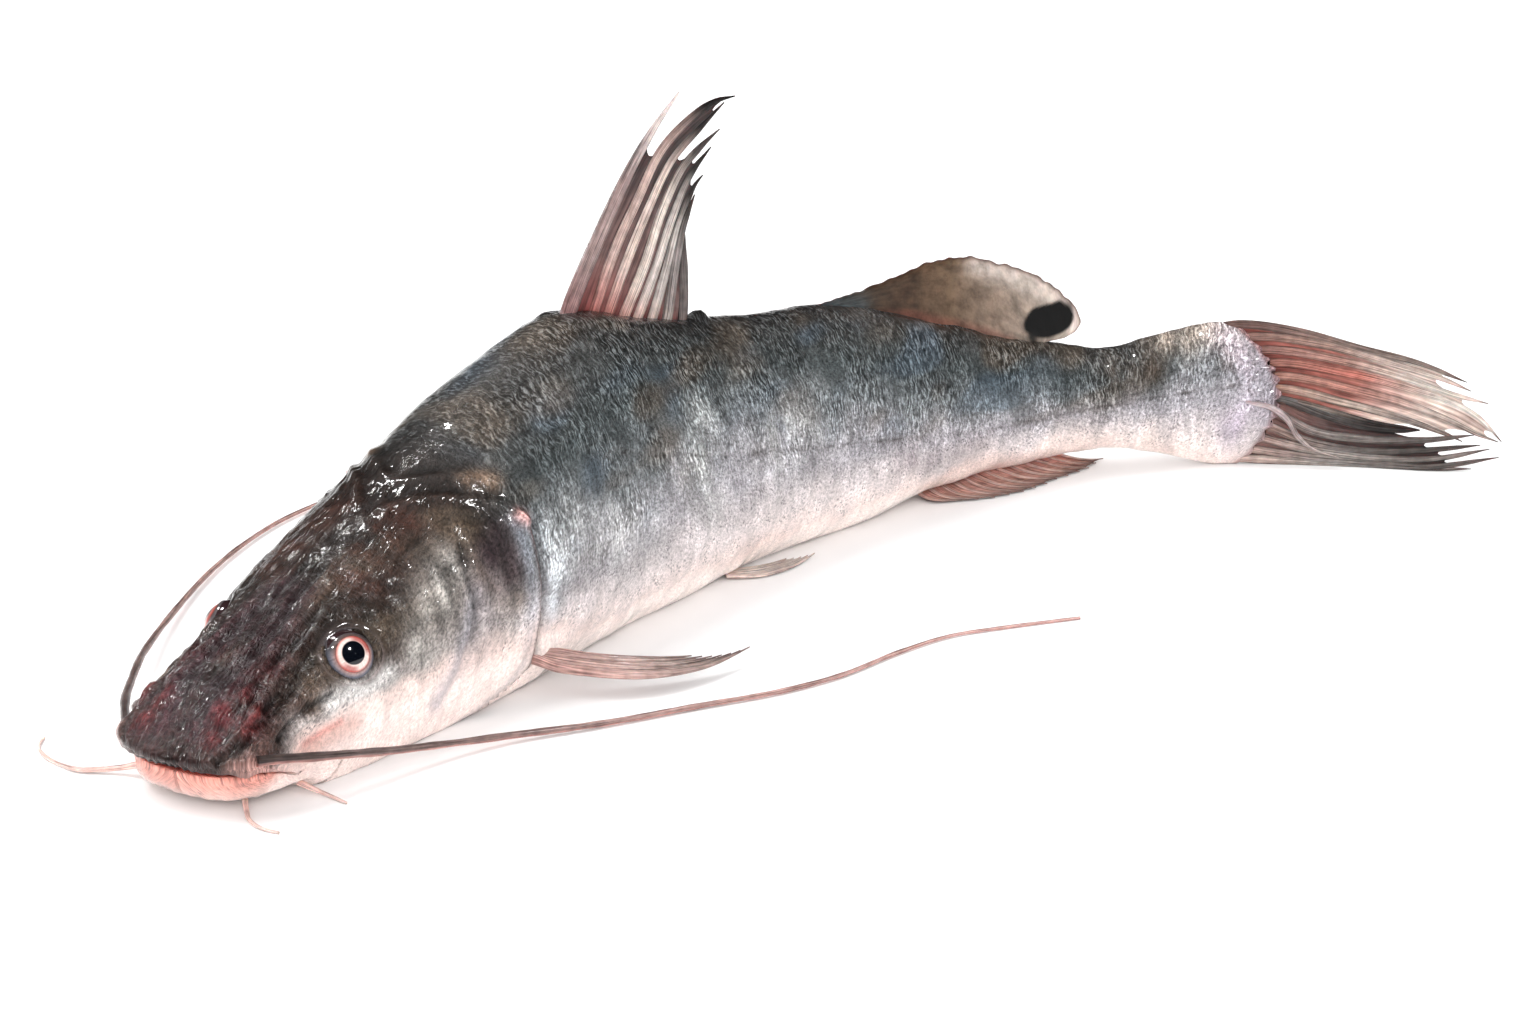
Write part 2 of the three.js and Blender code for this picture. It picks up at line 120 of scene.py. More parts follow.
def through(stations):
    """A smooth curve through (x, y) stations: cubic spans with mean slopes."""
    x, y = np.array(stations, float).T
    chord = np.diff(y) / np.diff(x)
    slope = np.concatenate([chord[:1], (chord[:-1] + chord[1:]) / 2, chord[-1:]])

    def value(at):
        at = np.clip(at, x[0], x[-1])
        i = np.clip(np.searchsorted(x, at, side="right") - 1, 0, len(x) - 2)
        span, rise = x[i + 1] - x[i], y[i + 1] - y[i]
        t, start, end = (at - x[i]) / span, slope[i] * span, slope[i + 1] * span
        return y[i] + t * (start + t * (3 * rise - 2 * start - end + t * (start + end - 2 * rise)))

    return value


def mix(a, b, share):
    return a + (b - a) * share


def smooth(x, low, high):
    """0 below low, 1 above high, with a soft turn between them."""
    t = np.clip((x - low) / (high - low), 0, 1)
    return t * t * (3 - 2 * t)


def round_off(x, length, power=2.0):
    """A rounded end: grows from 0 to 1 over a length."""
    return (1 - np.clip(1 - x / length, 0, 1) ** power) ** (1 / power)


def heading(s):
    share = np.minimum(s, STANDARD_LENGTH) / STANDARD_LENGTH
    return np.radians(np.polyval(HEADING[::-1], share))


step_s = np.arange(0, STANDARD_LENGTH + 121)
turns = heading(step_s[:-1] + 0.5)
backbone = np.vstack([[0, 0], np.cumsum(np.stack([np.cos(turns), np.sin(turns)], 1), axis=0)])
backbone -= backbone[RESTING_POINT]


def place(s, side, z):
    """From the fish's own coordinates in mm to the table's in metres."""
    lean = LEAN_SIDE * smooth(s, LEAN_START, LEAN_FULL)
    out = side + lean * (1 - z / LEAN_TOP)
    angle = heading(s)
    x = np.interp(s, step_s, backbone[:, 0]) + out * np.sin(angle)
    y = np.interp(s, step_s, backbone[:, 1]) - out * np.cos(angle)
    return np.stack(np.broadcast_arrays(x, y, z), -1) * MM


def smooth_path(points, count):
    """count evenly spaced points on a smooth curve through the given ones."""
    points = np.array(points, float)
    run = np.concatenate([[0], np.cumsum(np.linalg.norm(np.diff(points, axis=0), axis=1))])
    fine = np.linspace(0, run[-1], 40 * len(points))
    line = np.stack([through(list(zip(run, axis)))(fine) for axis in points.T], 1)
    run = np.concatenate([[0], np.cumsum(np.linalg.norm(np.diff(line, axis=0), axis=1))])
    even = np.linspace(0, run[-1], count)
    return np.stack([np.interp(even, run, axis) for axis in line.T], 1)


def near(points, line, reach):
    """1 on a line and fading away from it, like a soft brush of that half width."""
    line = np.array(line, float)
    best = ((points - line[0]) ** 2).sum(1)
    for a, b in zip(line[:-1], line[1:]):
        run = b - a
        t = np.clip((points - a) @ run / (run @ run), 0, 1)
        best = np.minimum(best, ((points - a - t[:, None] * run) ** 2).sum(1))
    return np.exp(-best / reach**2)


def swell(points, size, seed):
    """An even, irregular field between about -1 and 1, with swells of that size in mm."""
    random = np.random.default_rng(seed)
    waves = random.normal(size=(points.shape[1], 28))
    waves *= 2 * np.pi / np.linalg.norm(waves, axis=0) / np.array(size).reshape(-1, 1)
    waves *= random.uniform(0.45, 1.3, 28)
    return np.sin(points @ waves + random.uniform(0, 2 * np.pi, 28)).sum(1) / 28**0.5


# ---------------------------------------------------------------- meshes and colours


def hex_colour(code):
    """sRGB hex to the linear red, green and blue that the renderer works in."""
    values = np.array([int(code[i : i + 2], 16) / 255 for i in (0, 2, 4)])
    return np.where(values <= 0.04045, values / 12.92, ((values + 0.055) / 1.055) ** 2.4)


def rgba(code):
    return (*hex_colour(code), 1)


def brush(paint, code, weight):
    """Lays a colour over the paint of every point, by its weight there."""
    return mix(paint, hex_colour(code), np.clip(weight, 0, 1)[:, None])


def bands(value, stops):
    """The colour of each point from a list of (value, colour) stops."""
    at, codes = zip(*stops)
    colours = np.array([hex_colour(code) for code in codes])
    return np.stack([np.interp(value, at, colours[:, i]) for i in range(3)], 1)


def quads(rows, columns, first=0, around=False, along=False):
    """Faces joining a grid of points. around joins the last column to the first, along the rows."""
    grid = first + np.arange(rows * columns).reshape(rows, columns)
    if around:
        grid = np.hstack([grid, grid[:, :1]])
    if along:
        grid = np.vstack([grid, grid[:1]])
    corners = grid[:-1, :-1], grid[1:, :-1], grid[1:, 1:], grid[:-1, 1:]
    return np.stack(corners, -1).reshape(-1, 4)


def fan(ring, centre):
    """Triangles closing a ring of points round a centre point."""
    return [(ring[i - 1], ring[i], centre) for i in range(len(ring))]


def closed_rings(rows, columns):
    """Faces over rings of points, each end closed round one more point that follows them."""
    count = rows * columns
    faces = quads(rows, columns, around=True).tolist()
    faces += [face[::-1] for face in fan(range(columns), count)]
    return faces + fan(range(count - columns, count), count + 1)


def plate_faces(rows, columns, flip=False):
    """Faces over a thin plate: a grid, the same grid on its other side, and the rim between."""
    half = rows * columns
    front = quads(rows, columns)
    grid = np.arange(half).reshape(rows, columns)
    rim = np.concatenate([grid[0], grid[1:, -1], grid[-1, -2::-1], grid[-2:0:-1, 0]])
    before = np.roll(rim, 1)
    edge = np.stack([rim, before, before + half, rim + half], 1)
    faces = np.vstack([front, front[:, ::-1] + half, edge])
    return (faces[:, ::-1] if flip else faces).tolist()


def turns_round(count):
    return np.linspace(0, 2 * np.pi, count, endpoint=False)


def around_axis(right, up, across, lift, turn):
    """Steps to points round an axis, across and lift being how far they reach each way."""
    return right * (across * np.cos(turn))[..., None] + up * (lift * np.sin(turn))[..., None]


def unit(vectors):
    return vectors / np.linalg.norm(vectors, axis=-1, keepdims=True)


def new_piece(name, points, faces, material, slot, replaces=(), **marks):
    """Makes a smooth mesh piece on the fish's body, with a value of each mark at every point."""
    mesh = bpy.data.meshes.new(name)
    mesh.from_pydata(np.asarray(points).tolist(), [], [list(map(int, face)) for face in faces])
    mesh.shade_smooth()
    for mark, values in marks.items():
        values = np.asarray(values, np.float32)
        if mark == "paint":
            layer = mesh.attributes.new(mark, "FLOAT_COLOR", "POINT")
            rgb1 = np.hstack([values, np.ones((len(values), 1), np.float32)])
            layer.data.foreach_set("color", rgb1.ravel())
        elif values.ndim == 2:
            mesh.attributes.new(mark, "FLOAT_VECTOR", "POINT").data.foreach_set("vector", values.ravel())
        else:
            mesh.attributes.new(mark, "FLOAT", "POINT").data.foreach_set("value", values)
    mesh.materials.append(material)
    piece = bpy.data.objects.new(name, mesh)
    bpy.context.scene.collection.objects.link(piece)
    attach(piece, BODY)
    if replaces:
        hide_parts(*replaces)
    return piece


def normals_of(points, faces):
    a, b, c, d = (points[faces[:, i]] for i in range(4))
    face_normals = np.cross(c - a, d - b)
    total = np.zeros_like(points)
    for i in range(4):
        np.add.at(total, faces[:, i], face_normals)
    return total / np.maximum(np.linalg.norm(total, axis=1, keepdims=True), 1e-12)


# ---------------------------------------------------------------- materials


def add_node(tree, kind, links=None, out=0, **settings):
    """Adds a node with its settings, feeds its sockets with values or other nodes' outputs."""
    node = tree.nodes.new("ShaderNode" + kind)
    for name, value in settings.items():
        setattr(node, name, value)
    for socket, value in (links or {}).items():
        if isinstance(value, bpy.types.NodeSocket):
            tree.links.new(value, node.inputs[socket])
        else:
            node.inputs[socket].default_value = value
    return node.outputs[out]


def feed(shader, **outputs):
    """Joins nodes' outputs to the shader's sockets."""
    for socket, output in outputs.items():
        shader.id_data.links.new(output, shader.inputs[socket.replace("_", " ")])


def new_material(name, **shader_values):
    """A material, its shader and a function that adds a node to it."""
    material = bpy.data.materials.new(name)
    material.use_nodes = True
    shader = material.node_tree.nodes["Principled BSDF"]
    for socket, value in shader_values.items():
        shader.inputs[socket.replace("_", " ")].default_value = value
    return material, shader, partial(add_node, material.node_tree)


FACTOR, COLOUR_A, COLOUR_B, COLOUR = 0, 6, 7, 2  # sockets of a colour mix


def wet_skin():
    """Scaleless catfish skin under a film of slime: thin pale dashes over a dark hide, a fine dark
    stipple where it pales, a grained head, and small sharp glints on a softly uneven surface."""
    material, shader, add = new_material(
        "wet_scaleless_skin", Subsurface_Weight=0.06, Subsurface_Scale=0.002,
        Subsurface_Radius=(1, 0.4, 0.25), Coat_Weight=1, Coat_Roughness=0.07, Coat_IOR=1.34,
        IOR=1.38, Specular_IOR_Level=0.3,
    )
    paint = add("Attribute", attribute_name="paint")
    skin_mm = add("Attribute", out=1, attribute_name="skin_mm")
    dashes_here = add("Attribute", out=2, attribute_name="dashes")
    stipple_here = add("Attribute", out=2, attribute_name="stipple")
    grain_here = add("Attribute", out=2, attribute_name="grain")

    # Pale dashes about 0.9 mm wide and 3.6 mm tall on the flank, with dark gaps between them,
    # pushed about by a slow drift.
    drift = add("TexNoise", {"Vector": skin_mm, "Scale": 1 / 8, "Detail": 3}, out=1)
    drifted = add("VectorMath", {0: drift, 1: (6, 6, 0), 2: skin_mm}, operation="MULTIPLY_ADD" )
    slant = add(
        "Mapping", {"Vector": drifted, "Rotation": (0, 0, 0.3), "Scale": (1 / 0.9, 1 / 3.6, 1)}
    )
    dash = add("TexNoise", {"Vector": slant, "Scale": 1, "Detail": 3, "Roughness": 0.65})
    gap = add(
        "MapRange",
        {"Value": dash, "From Min": 0.38, "From Max": 0.5, "To Min": 0.42, "To Max": 1},
    )
    gap = add("MapRange", {"Value": dashes_here, "To Min": 1, "To Max": gap})
    dash = add("MapRange", {"Value": dash, "From Min": 0.5, "From Max": 0.62})
    dash_share = add("Math", {0: dash, 1: dashes_here}, operation="MULTIPLY")

    # Lighter and darker skin: blotches 14 mm across, streaks 5 by 22 mm and grain of 1.2 mm.
    blotch = add("TexNoise", {"Vector": skin_mm, "Scale": 1 / 14, "Detail": 5, "Roughness": 0.6})
    blotch = add(
        "MapRange",
        {"Value": blotch, "From Min": 0.3, "From Max": 0.7, "To Min": 0.68, "To Max": 1.32},
    )
    tall = add("Mapping", {"Vector": drifted, "Scale": (1 / 5, 1 / 22, 1)})
    streak = add("TexNoise", {"Vector": tall, "Scale": 1, "Detail": 4, "Roughness": 0.65})
    streak = add(
        "MapRange",
        {"Value": streak, "From Min": 0.3, "From Max": 0.7, "To Min": 0.62, "To Max": 1.38},
    )
    grain = add("TexNoise", {"Vector": skin_mm, "Scale": 1 / 1.2, "Detail": 3, "Roughness": 0.8})
    light = add(
        "MapRange",
        {"Value": grain, "From Min": 0.34, "From Max": 0.66, "To Min": 0.42, "To Max": 1.7},
    )
    tone = blotch
    for shade in (light, streak, gap):
        tone = add("Math", {0: tone, 1: shade}, operation="MULTIPLY")
    tone = add("MapRange", {"Value": grain_here, "To Min": 1, "To Max": tone})
    toned = add("VectorMath", {0: paint, "Scale": tone}, operation="SCALE")

    pale = add(
        "VectorMath", {0: toned, 1: (2.3, 2.35, 2.35), 2: (0.1, 0.11, 0.115)},
        operation="MULTIPLY_ADD",
    )
    dashed = add(
        "Mix", {FACTOR: dash_share, COLOUR_A: toned, COLOUR_B: pale}, out=COLOUR, data_type="RGBA"
    )

    # Dark stipple: dots under 1 mm across and 1.1 mm apart, gathered in 6 mm clouds.
    dots = add("TexVoronoi", {"Vector": drifted, "Scale": 1 / 1.1, "Randomness": 1})
    dots = add("MapRange", {"Value": dots, "From Min": 0.5, "From Max": 0.15})
    cloud = add("TexNoise", {"Vector": skin_mm, "Scale": 1 / 6, "Detail": 4})
    cloud = add("MapRange", {"Value": cloud, "From Min": 0.4, "From Max": 0.62})
    dots = add("Math", {0: dots, 1: cloud}, operation="MULTIPLY")
    dots = add("Math", {0: dots, 1: stipple_here}, operation="MULTIPLY")
    skin = add(
        "Mix", {FACTOR: dots, COLOUR_A: dashed, COLOUR_B: rgba("5a5558")}, out=COLOUR, data_type="RGBA"
    )
    rough = add(
        "MapRange",
        {"Value": grain, "From Min": 0.3, "From Max": 0.7, "To Min": 0.34, "To Max": 0.56},
    )
    # Wet wrinkles 8 mm long and 1.6 mm apart that run back along the head, over dashes and grain.
    back_along = add("Mapping", {"Vector": drifted, "Scale": (1 / 8, 1 / 1.6, 1)})
    wrinkle = add("TexNoise", {"Vector": back_along, "Scale": 1, "Detail": 3, "Roughness": 0.6})
    wrinkle_here = add("Attribute", out=2, attribute_name="wrinkles")
    wrinkle = add("Math", {0: wrinkle, 1: wrinkle_here}, operation="MULTIPLY")
    height = add("Math", {0: dash_share, 1: 0.45, 2: grain}, operation="MULTIPLY_ADD")
    height = add("Math", {0: wrinkle, 1: 5, 2: height}, operation="MULTIPLY_ADD")
    bump = add("Bump", {"Height": height, "Strength": 1, "Distance": 0.4 * MM})
    # The film of slime bridges the finest grain, so its glints only follow wrinkles and dashes.
    film = add("Math", {0: wrinkle, 1: 5, 2: dash_share}, operation="MULTIPLY_ADD")
    film = add("Bump", {"Height": film, "Strength": 1, "Distance": 0.3 * MM})
    feed(shader, Base_Color=skin, Roughness=rough, Normal=bump, Coat_Normal=film)
    return material


def fin_skin(name, film, lines_mm=(25, 0.55), lines_dark=0.28, **values):
    """Fin rays and the skin between them: fine lines run out along each ray, over thin skin
    that lets a little light through, with a softer wet shine than the body's."""
    material, shader, add = new_material(
        name, Subsurface_Weight=0.2, Subsurface_Scale=0.002, Coat_Weight=0.5, Coat_Roughness=0.15,
        IOR=1.38, Specular_IOR_Level=0.2, Coat_IOR=1.34, **values,
    )
    paint = add("Attribute", attribute_name="paint")
    ray_mm = add("Attribute", out=1, attribute_name="ray_mm")
    # Lines of the given length and spacing, over spots 4 mm across.
    lines_at = add("Mapping", {"Vector": ray_mm, "Scale": (1 / lines_mm[0], 1 / lines_mm[1], 1)} )
    lines = add("TexNoise", {"Vector": lines_at, "Scale": 1, "Detail": 4, "Roughness": 0.7})
    shade = add(
        "MapRange",
        {"Value": lines, "From Min": 0.33, "From Max": 0.62, "To Min": lines_dark, "To Max": 1.35},
    )
    spots = add("TexNoise", {"Vector": ray_mm, "Scale": 1 / 4, "Detail": 4})
    spots = add(
        "MapRange",
        {"Value": spots, "From Min": 0.3, "From Max": 0.7, "To Min": 0.75, "To Max": 1.2},
    )
    shade = add("Math", {0: shade, 1: spots}, operation="MULTIPLY")
    colour = add("VectorMath", {0: paint, "Scale": shade}, operation="SCALE")
    rough = add("MapRange", {"Value": lines, "To Min": 0.3, "To Max": 0.6})
    bump = add("Bump", {"Height": lines, "Strength": film, "Distance": 0.3 * MM})
    feed(shader, Base_Color=colour, Roughness=rough, Normal=bump, Coat_Normal=bump)
    return material


skin_material = wet_skin()
ray_material = fin_skin("fin_rays_and_web", 0.6)
adipose_material = fin_skin("fatty_fin_skin", 0.4, lines_mm=(6, 2.2), lines_dark=0.75)
whisker_material = fin_skin("whisker_skin", 0.35)

# ---------------------------------------------------------------- flesh of head and trunk

half_width, back, widest = through(HALF_WIDTH), through(BACK), through(WIDEST)
under_side, upper_power, lower_power = through(UNDER_SIDE), through(UPPER_POWER), through(LOWER_POWER)


def outline(s):
    return half_width(s) * round_off(s - SNOUT_TIP, SNOUT_OUTLINE, 2.6)


def lift(s, out, above):
    """How far above or below the widest line the skin is, out being the share of half width."""
    power = np.where(above, upper_power(s), lower_power(s))
    share = (1 - np.minimum(out, 1) ** power) ** (1 / power)
    up = (back(s) - widest(s)) * round_off(s - SNOUT_TIP, SNOUT_NOSE, NOSE_POWER)
    down = (under_side(s) - widest(s)) * round_off(s - SNOUT_TIP, SNOUT_CHIN)
    return np.where(above, up, down) * share


def section_point(s, angle):
    above = np.sin(angle) >= 0
    power = np.where(above, upper_power(s), lower_power(s))
    out = np.abs(np.cos(angle)) ** (2 / power)
    side = np.sign(np.cos(angle)) * out * half_width(s)
    return s, side, np.maximum(widest(s) + lift(s, out, above), 0)


def straight_width(s):
    corner, full = outline(MOUTH_CORNER), outline(HEAD_BLEND)
    share = (s - MOUTH_CORNER) / (HEAD_BLEND - MOUTH_CORNER)
    return np.where(s <= MOUTH_CORNER, outline(s), mix(corner, full, share))


def lip_at(angle):
    return mix(SNOUT_TIP, MOUTH_CORNER, np.abs(np.cos(angle)) ** 2.2)


def head_point(share, angle):
    """A point of the head, share of the way back from the lips to the first plain section."""
    turn, above = np.abs(np.sin(angle)), np.sin(angle) >= 0
    lip, k = lip_at(angle), share * share
    s = mix(lip, HEAD_BLEND, k)
    side = mix(np.sign(np.cos(angle)) * outline(lip), section_point(HEAD_BLEND, angle)[1], k)
    out = np.clip(side / np.maximum(straight_width(s), 1e-6), -1, 1)
    gap = MOUTH_GAPE * 0.5 * turn**1.5 * (1 - k) ** 8
    z = widest(s) + lift(s, np.abs(out), above) + np.where(above, gap, -gap)
    jaw = np.where(above, 0, turn * (1 - k) ** 6)
    tuck = np.where(above, turn * (1 - k) ** 30, 0)
    side = out * outline(s) * mix(1, JAW_SHARE, np.maximum(jaw, tuck / 2))
    return s + LIP_TUCK * tuck + OVERBITE * jaw, side, np.maximum(z, 0)


def mouth_point(depth, angle):
    s, side, z = head_point(0, angle)
    return s + MOUTH_DEPTH * depth, side * (1 - 0.4 * depth), mix(z, widest(lip_at(angle)), 0.5 * depth)


def tail_point(share, angle):
    _, side, z = section_point(mix(TAIL_START, STANDARD_LENGTH, share), angle)
    slim = mix(1, HIND_EDGE_WIDTH / half_width(STANDARD_LENGTH), share**3)
    scallops = 1.3 * np.sin(1.35 * z + 1.2 * np.sin(0.31 * z)) * np.abs(np.cos(angle))
    hind_edge = HIND_EDGE_AT + HIND_EDGE_BULGE * np.cos(angle) ** 2 + scallops * share**4
    s = mix(TAIL_START, hind_edge, share)
    return s, side * slim, z


OVER, UNDER = 136, 64  # points of a ring over the top and over the underside


def ring(point_at, where):
    """Evenly spaced points over the top and then the underside, which meet along the lips."""
    halves = []
    for start, count in ((0, OVER), (np.pi, UNDER)):
        angle = start + np.linspace(0, np.pi, 601)
        line = np.stack(np.broadcast_arrays(*point_at(where, angle)), 1)
        step = np.linalg.norm(np.diff(line, axis=0), axis=1) * np.where(line[1:, 2] > 0, 1, 0.3)
        run = np.concatenate([[0], np.cumsum(step)])
        even = np.linspace(0, run[-1], count, endpoint=False)
        halves.append(np.stack([np.interp(even, run, axis) for axis in line.T], 1))
    return np.concatenate(halves)


lining_depths = np.linspace(1, 0.08, 9)
lining = [ring(mouth_point, depth) for depth in lining_depths]
head_shares = (np.arange(80) / 80) ** 0.75
head = [ring(head_point, share) for share in head_shares]
trunk_s = np.concatenate([np.arange(HEAD_BLEND, 150, 1.05), np.arange(150, TAIL_START, 1.4)])
trunk = [ring(section_point, s) for s in trunk_s]
tail = [ring(tail_point, share) for share in np.linspace(0.03, 1, 26)]
rings = np.array(lining + head + trunk + tail)
row_count, column_count = rings.shape[:2]
flesh = rings.reshape(-1, 3)
flesh_faces = quads(row_count, column_count, around=True)
behind_head = np.zeros(len(trunk) + len(tail))
lip_share = np.concatenate([np.ones(len(lining)), (1 - head_shares**2) ** 14, behind_head])
lip_share = np.repeat(lip_share, column_count)
depth_share = np.concatenate([lining_depths, np.zeros(row_count - len(lining))])
depth_share = np.repeat(depth_share, column_count)
is_top = np.tile(np.arange(column_count) <= OVER, row_count)

# Distance round the skin from the ridge of the back, positive on the left.
hop = np.linalg.norm(np.diff(rings, axis=1, append=rings[:, :1]), axis=2)
run = np.cumsum(hop, axis=1) - hop
over_back = run[:, OVER // 2 : OVER // 2 + 1]
around = over_back - run
around = np.where(np.arange(column_count) > OVER + UNDER // 2, around + hop.sum(1, keepdims=True), around)
girth = around.ravel()

s, side, z = flesh.T
paired = np.stack([s, np.abs(side), z], 1)  # the same place on both sides of the fish
edge_s = np.interp(z, *np.array(GILL_EDGE).T)
past_gill = s - edge_s
gill_here = smooth(z, 64, 58) * smooth(np.abs(side), 28, 34)

# Folds and ridges of the skin on both sides: height in mm, reach in mm and line.
FOLDS = [
    # sharp wrinkles on the gill cover
    (0.8, 0.8, [(134, 33, 60), (136, 38, 50), (136.5, 40, 40), (136, 41, 30), (134, 41, 20), (128, 40, 12)]),
    (0.7, 0.8, [
        (129, 33, 60), (131, 37.5, 50), (131.5, 40, 40), (131, 41, 30), (128.5, 41, 20), (122, 40, 12),
    ]),
    (-0.7, 0.8, [(125, 32, 60), (126, 37, 50), (126.5, 39.5, 40), (126, 40.5, 30), (123, 40.5, 20)]),
    (0.7, 0.8, [(99, 32, 52), (103, 35.5, 43), (104, 37.5, 34), (101, 37.5, 24), (96, 37, 16)]),
    (-0.6, 0.8, [(109, 32, 54), (109, 36, 44), (109, 38, 33), (106, 39, 24)]),
    (0.6, 0.7, [(118, 27, 62), (124, 31, 60), (129, 32.5, 59.5)]),
    # the root of the long whisker, then ridges and grooves from the snout back over the head
    (2.4, 4.0, [(17, 25.5, 15.5)]),
    (1.3, 1.1, [(9, 14, 19), (14, 17.5, 22.5), (21, 19.5, 26), (29, 19.8, 29.5)]),
    (-1.1, 1.0, [(10, 17, 17.5), (16, 20.5, 21), (23, 22, 24)]),
    (1.2, 1.0, [(9, 3, 20), (14, 5.5, 24), (21, 7.5, 28.5), (30, 8.2, 33), (40, 8, 37.5)]),
    (-1.0, 0.9, [(12, 2, 23), (18, 2.8, 27.5), (27, 3, 32), (37, 2.6, 36.5)]),
    (1.0, 1.0, [(40, 12.5, 36), (48, 13.5, 39), (57, 12.5, 43), (68, 11.5, 47.5), (80, 10, 52)]),
    (0.9, 0.9, [(50, 17.5, 39), (60, 17, 43.5), (70, 15.5, 47.5)]),
    (-0.9, 0.9, [(47, 20, 36.5), (57, 20.5, 40), (66, 19.5, 44)]),
    (0.8, 0.9, [(66, 5, 48.5), (80, 5.5, 54), (95, 7.5, 60), (108, 8, 65)]),
    (-0.8, 1.0, [(84, 14, 52), (95, 16.5, 56), (106, 19, 59.5), (115, 23, 61)]),
    (0.8, 0.9, [(88, 19, 50), (99, 21, 54.5), (110, 24, 57.5), (121, 29, 58.5)]),
    (-1.3, 2.0, [(12, 4, 26), (22, 5, 32), (31, 6, 35), (43, 7, 40), (57, 6, 45), (71, 4, 50), (82, 3, 55)]),
    (0.8, 1.8, [(14, 11, 27), (24, 10.5, 31), (33, 11, 35), (45, 11, 39), (58, 10, 44), (74, 9, 50)]),
    (-0.9, 1.2, [(10, 5, 24), (13, 11, 26), (20, 14, 29), (27, 15, 31)]),
    (0.6, 1.2, [(11, 3, 26), (15, 8, 28), (23, 13, 31), (33, 14, 35)]),
    # folds behind the corner of the mouth and along the brow
    (1.6, 1.7, [(26, 25, 22), (34, 24.5, 25), (40, 24.5, 28), (46, 25.5, 30), (52, 27.5, 30.5)]),
    (-1.6, 1.1, [(31, 26, 21), (38, 26, 24.5), (45, 26.6, 27), (53, 28.8, 28)]),
    (1.2, 1.3, [(32, 27, 18), (39, 27.5, 21.5), (46, 28.5, 24), (54, 29.8, 25)]),
    (-1.0, 1.3, [(20, 22, 25), (30, 21.5, 28.5), (38, 21, 32), (45, 21.5, 34.5), (55, 22.5, 37)]),
    (-0.8, 1.2, [(17, 18, 27), (26, 17.5, 31), (34, 16.5, 34.5), (43, 15, 38), (53, 14, 42)]),
    (0.7, 1.4, [(15, 16, 26), (24, 20, 28), (34, 19, 32), (45, 18, 36.5), (56, 17, 41)]),
    # broad swells of the gill cover
    (-0.9, 1.6, [
        (116, 31, 57), (113, 35.5, 49), (113, 38, 41), (111, 39, 31), (105, 38.5, 20), (98, 37, 12),
    ]),
    (0.7, 2.0, [(119, 31, 57), (117, 36, 49), (117, 39, 41), (115, 40, 31), (110, 39.5, 20), (103, 38, 12)]),
    (-0.5, 1.6, [(107, 32, 52), (104, 36, 42), (103, 38, 31), (98, 37.5, 21), (92, 36, 13)]),
    (-0.6, 2.2, [(131, 34, 59), (128, 39, 46), (130, 41, 33), (127, 41, 20), (118, 40, 10)]),
    # the nape, and the knob over the gill opening
    (0.9, 1.8, [(108, 5, 66), (118, 13, 69), (126, 22, 68.5), (136, 31, 65), (140, 34, 62)]),
    (-0.7, 1.5, [(112, 5, 69), (121, 14, 71), (129, 23, 70), (137, 30, 67)]),
    (0.7, 1.6, [(120, 3, 72), (130, 17, 73), (138, 25, 71.5), (142, 30, 69)]),
    (-0.5, 1.6, [(124, 4, 74), (134, 16, 76), (145, 26, 73)]),
    (2.2, 2.6, [(141, 36, 59.5)]),
    (-0.9, 1.5, [(144, 42, 33), (151, 42.5, 31.5), (158, 42.5, 32)]),
    # the lateral line, and the back beside and behind the back fin
    (-0.35, 1.0, LATERAL_LINE),
    (1.0, 3.0, [(204, 7, 105), (215, 6.5, 102), (233, 6, 96.5), (250, 5.5, 92), (268, 5, 88)]),
    (-0.8, 1.3, [(206, 10, 101), (220, 10, 97), (240, 9, 92), (262, 8, 86), (276, 6, 86)]),
    (3.6, 2.6, [(270.5, 0, 90.5), (273.5, 0, 90)]),
    (-0.7, 1.6, [(338, 3.5, 80.5), (360, 3.5, 76), (390, 3, 66), (420, 3, 56)]),
    # the roots of the breast and belly fins, and creases of the underside
    (2.2, 4.5, [(143, 40, 13), (146, 39, 11)]),
    (-1.0, 2.5, [(150, 42, 19), (162, 42, 15), (178, 40, 10)]),
    (1.6, 4.0, [(264, 28, 5)]),
    (-0.8, 3.0, [(196, 38, 12), (220, 36, 9), (245, 33, 9)]),
    (-0.8, 2.4, [(60, 27, 8), (80, 32, 9), (98, 34, 6)]),
]
relief = sum(height * near(paired, line, reach) for height, reach, line in FOLDS)
# The gill cover stands proud of the shoulder, with a groove behind its edge.
cover = np.where(past_gill < 0, 2.1 * np.exp(np.minimum(past_gill, 0) / 9), 0)
groove = -2.2 * np.exp(-np.maximum(past_gill, 0) / 4) * (past_gill >= 0)
relief += (mix(cover, groove, smooth(past_gill, -0.9, 0.9))) * gill_here
# Fine wet wrinkles that run back from the snout, soft muscle swells, and ridges at the tail base.
wrinkle = 1 - 2 * np.abs(swell(flesh, (15, 4, 7), 11))
relief += 0.3 * wrinkle * smooth(s, 66, 40) * smooth(z, 14, 22)
relief += 0.16 * (1 - 2 * np.abs(swell(flesh, (20, 3.4, 7), 12))) * smooth(s, 150, 110)
relief += 0.4 * swell(flesh, 26, 13) * smooth(s, 90, 150) + 0.12 * swell(flesh, 7, 14)
feather = smooth(s, 506, 524)
relief += 0.28 * feather * np.sin((z + 0.16 * (s - 500) * (z - 27) / 27) * 1.9 + 1.5 * swell(flesh, 9, 15))
# Pores along the upper lip.
pores = np.zeros(len(s))
for at in np.linspace(-24, 24, 19):
    lip_s = SNOUT_TIP + 4.5 + 22 * abs(at / 27) ** 2.6
    pores = np.maximum(pores, near(flesh, [(lip_s, at, 15.5 - 4 * abs(at / 25) ** 2)], 0.9))
relief -= 0.5 * pores

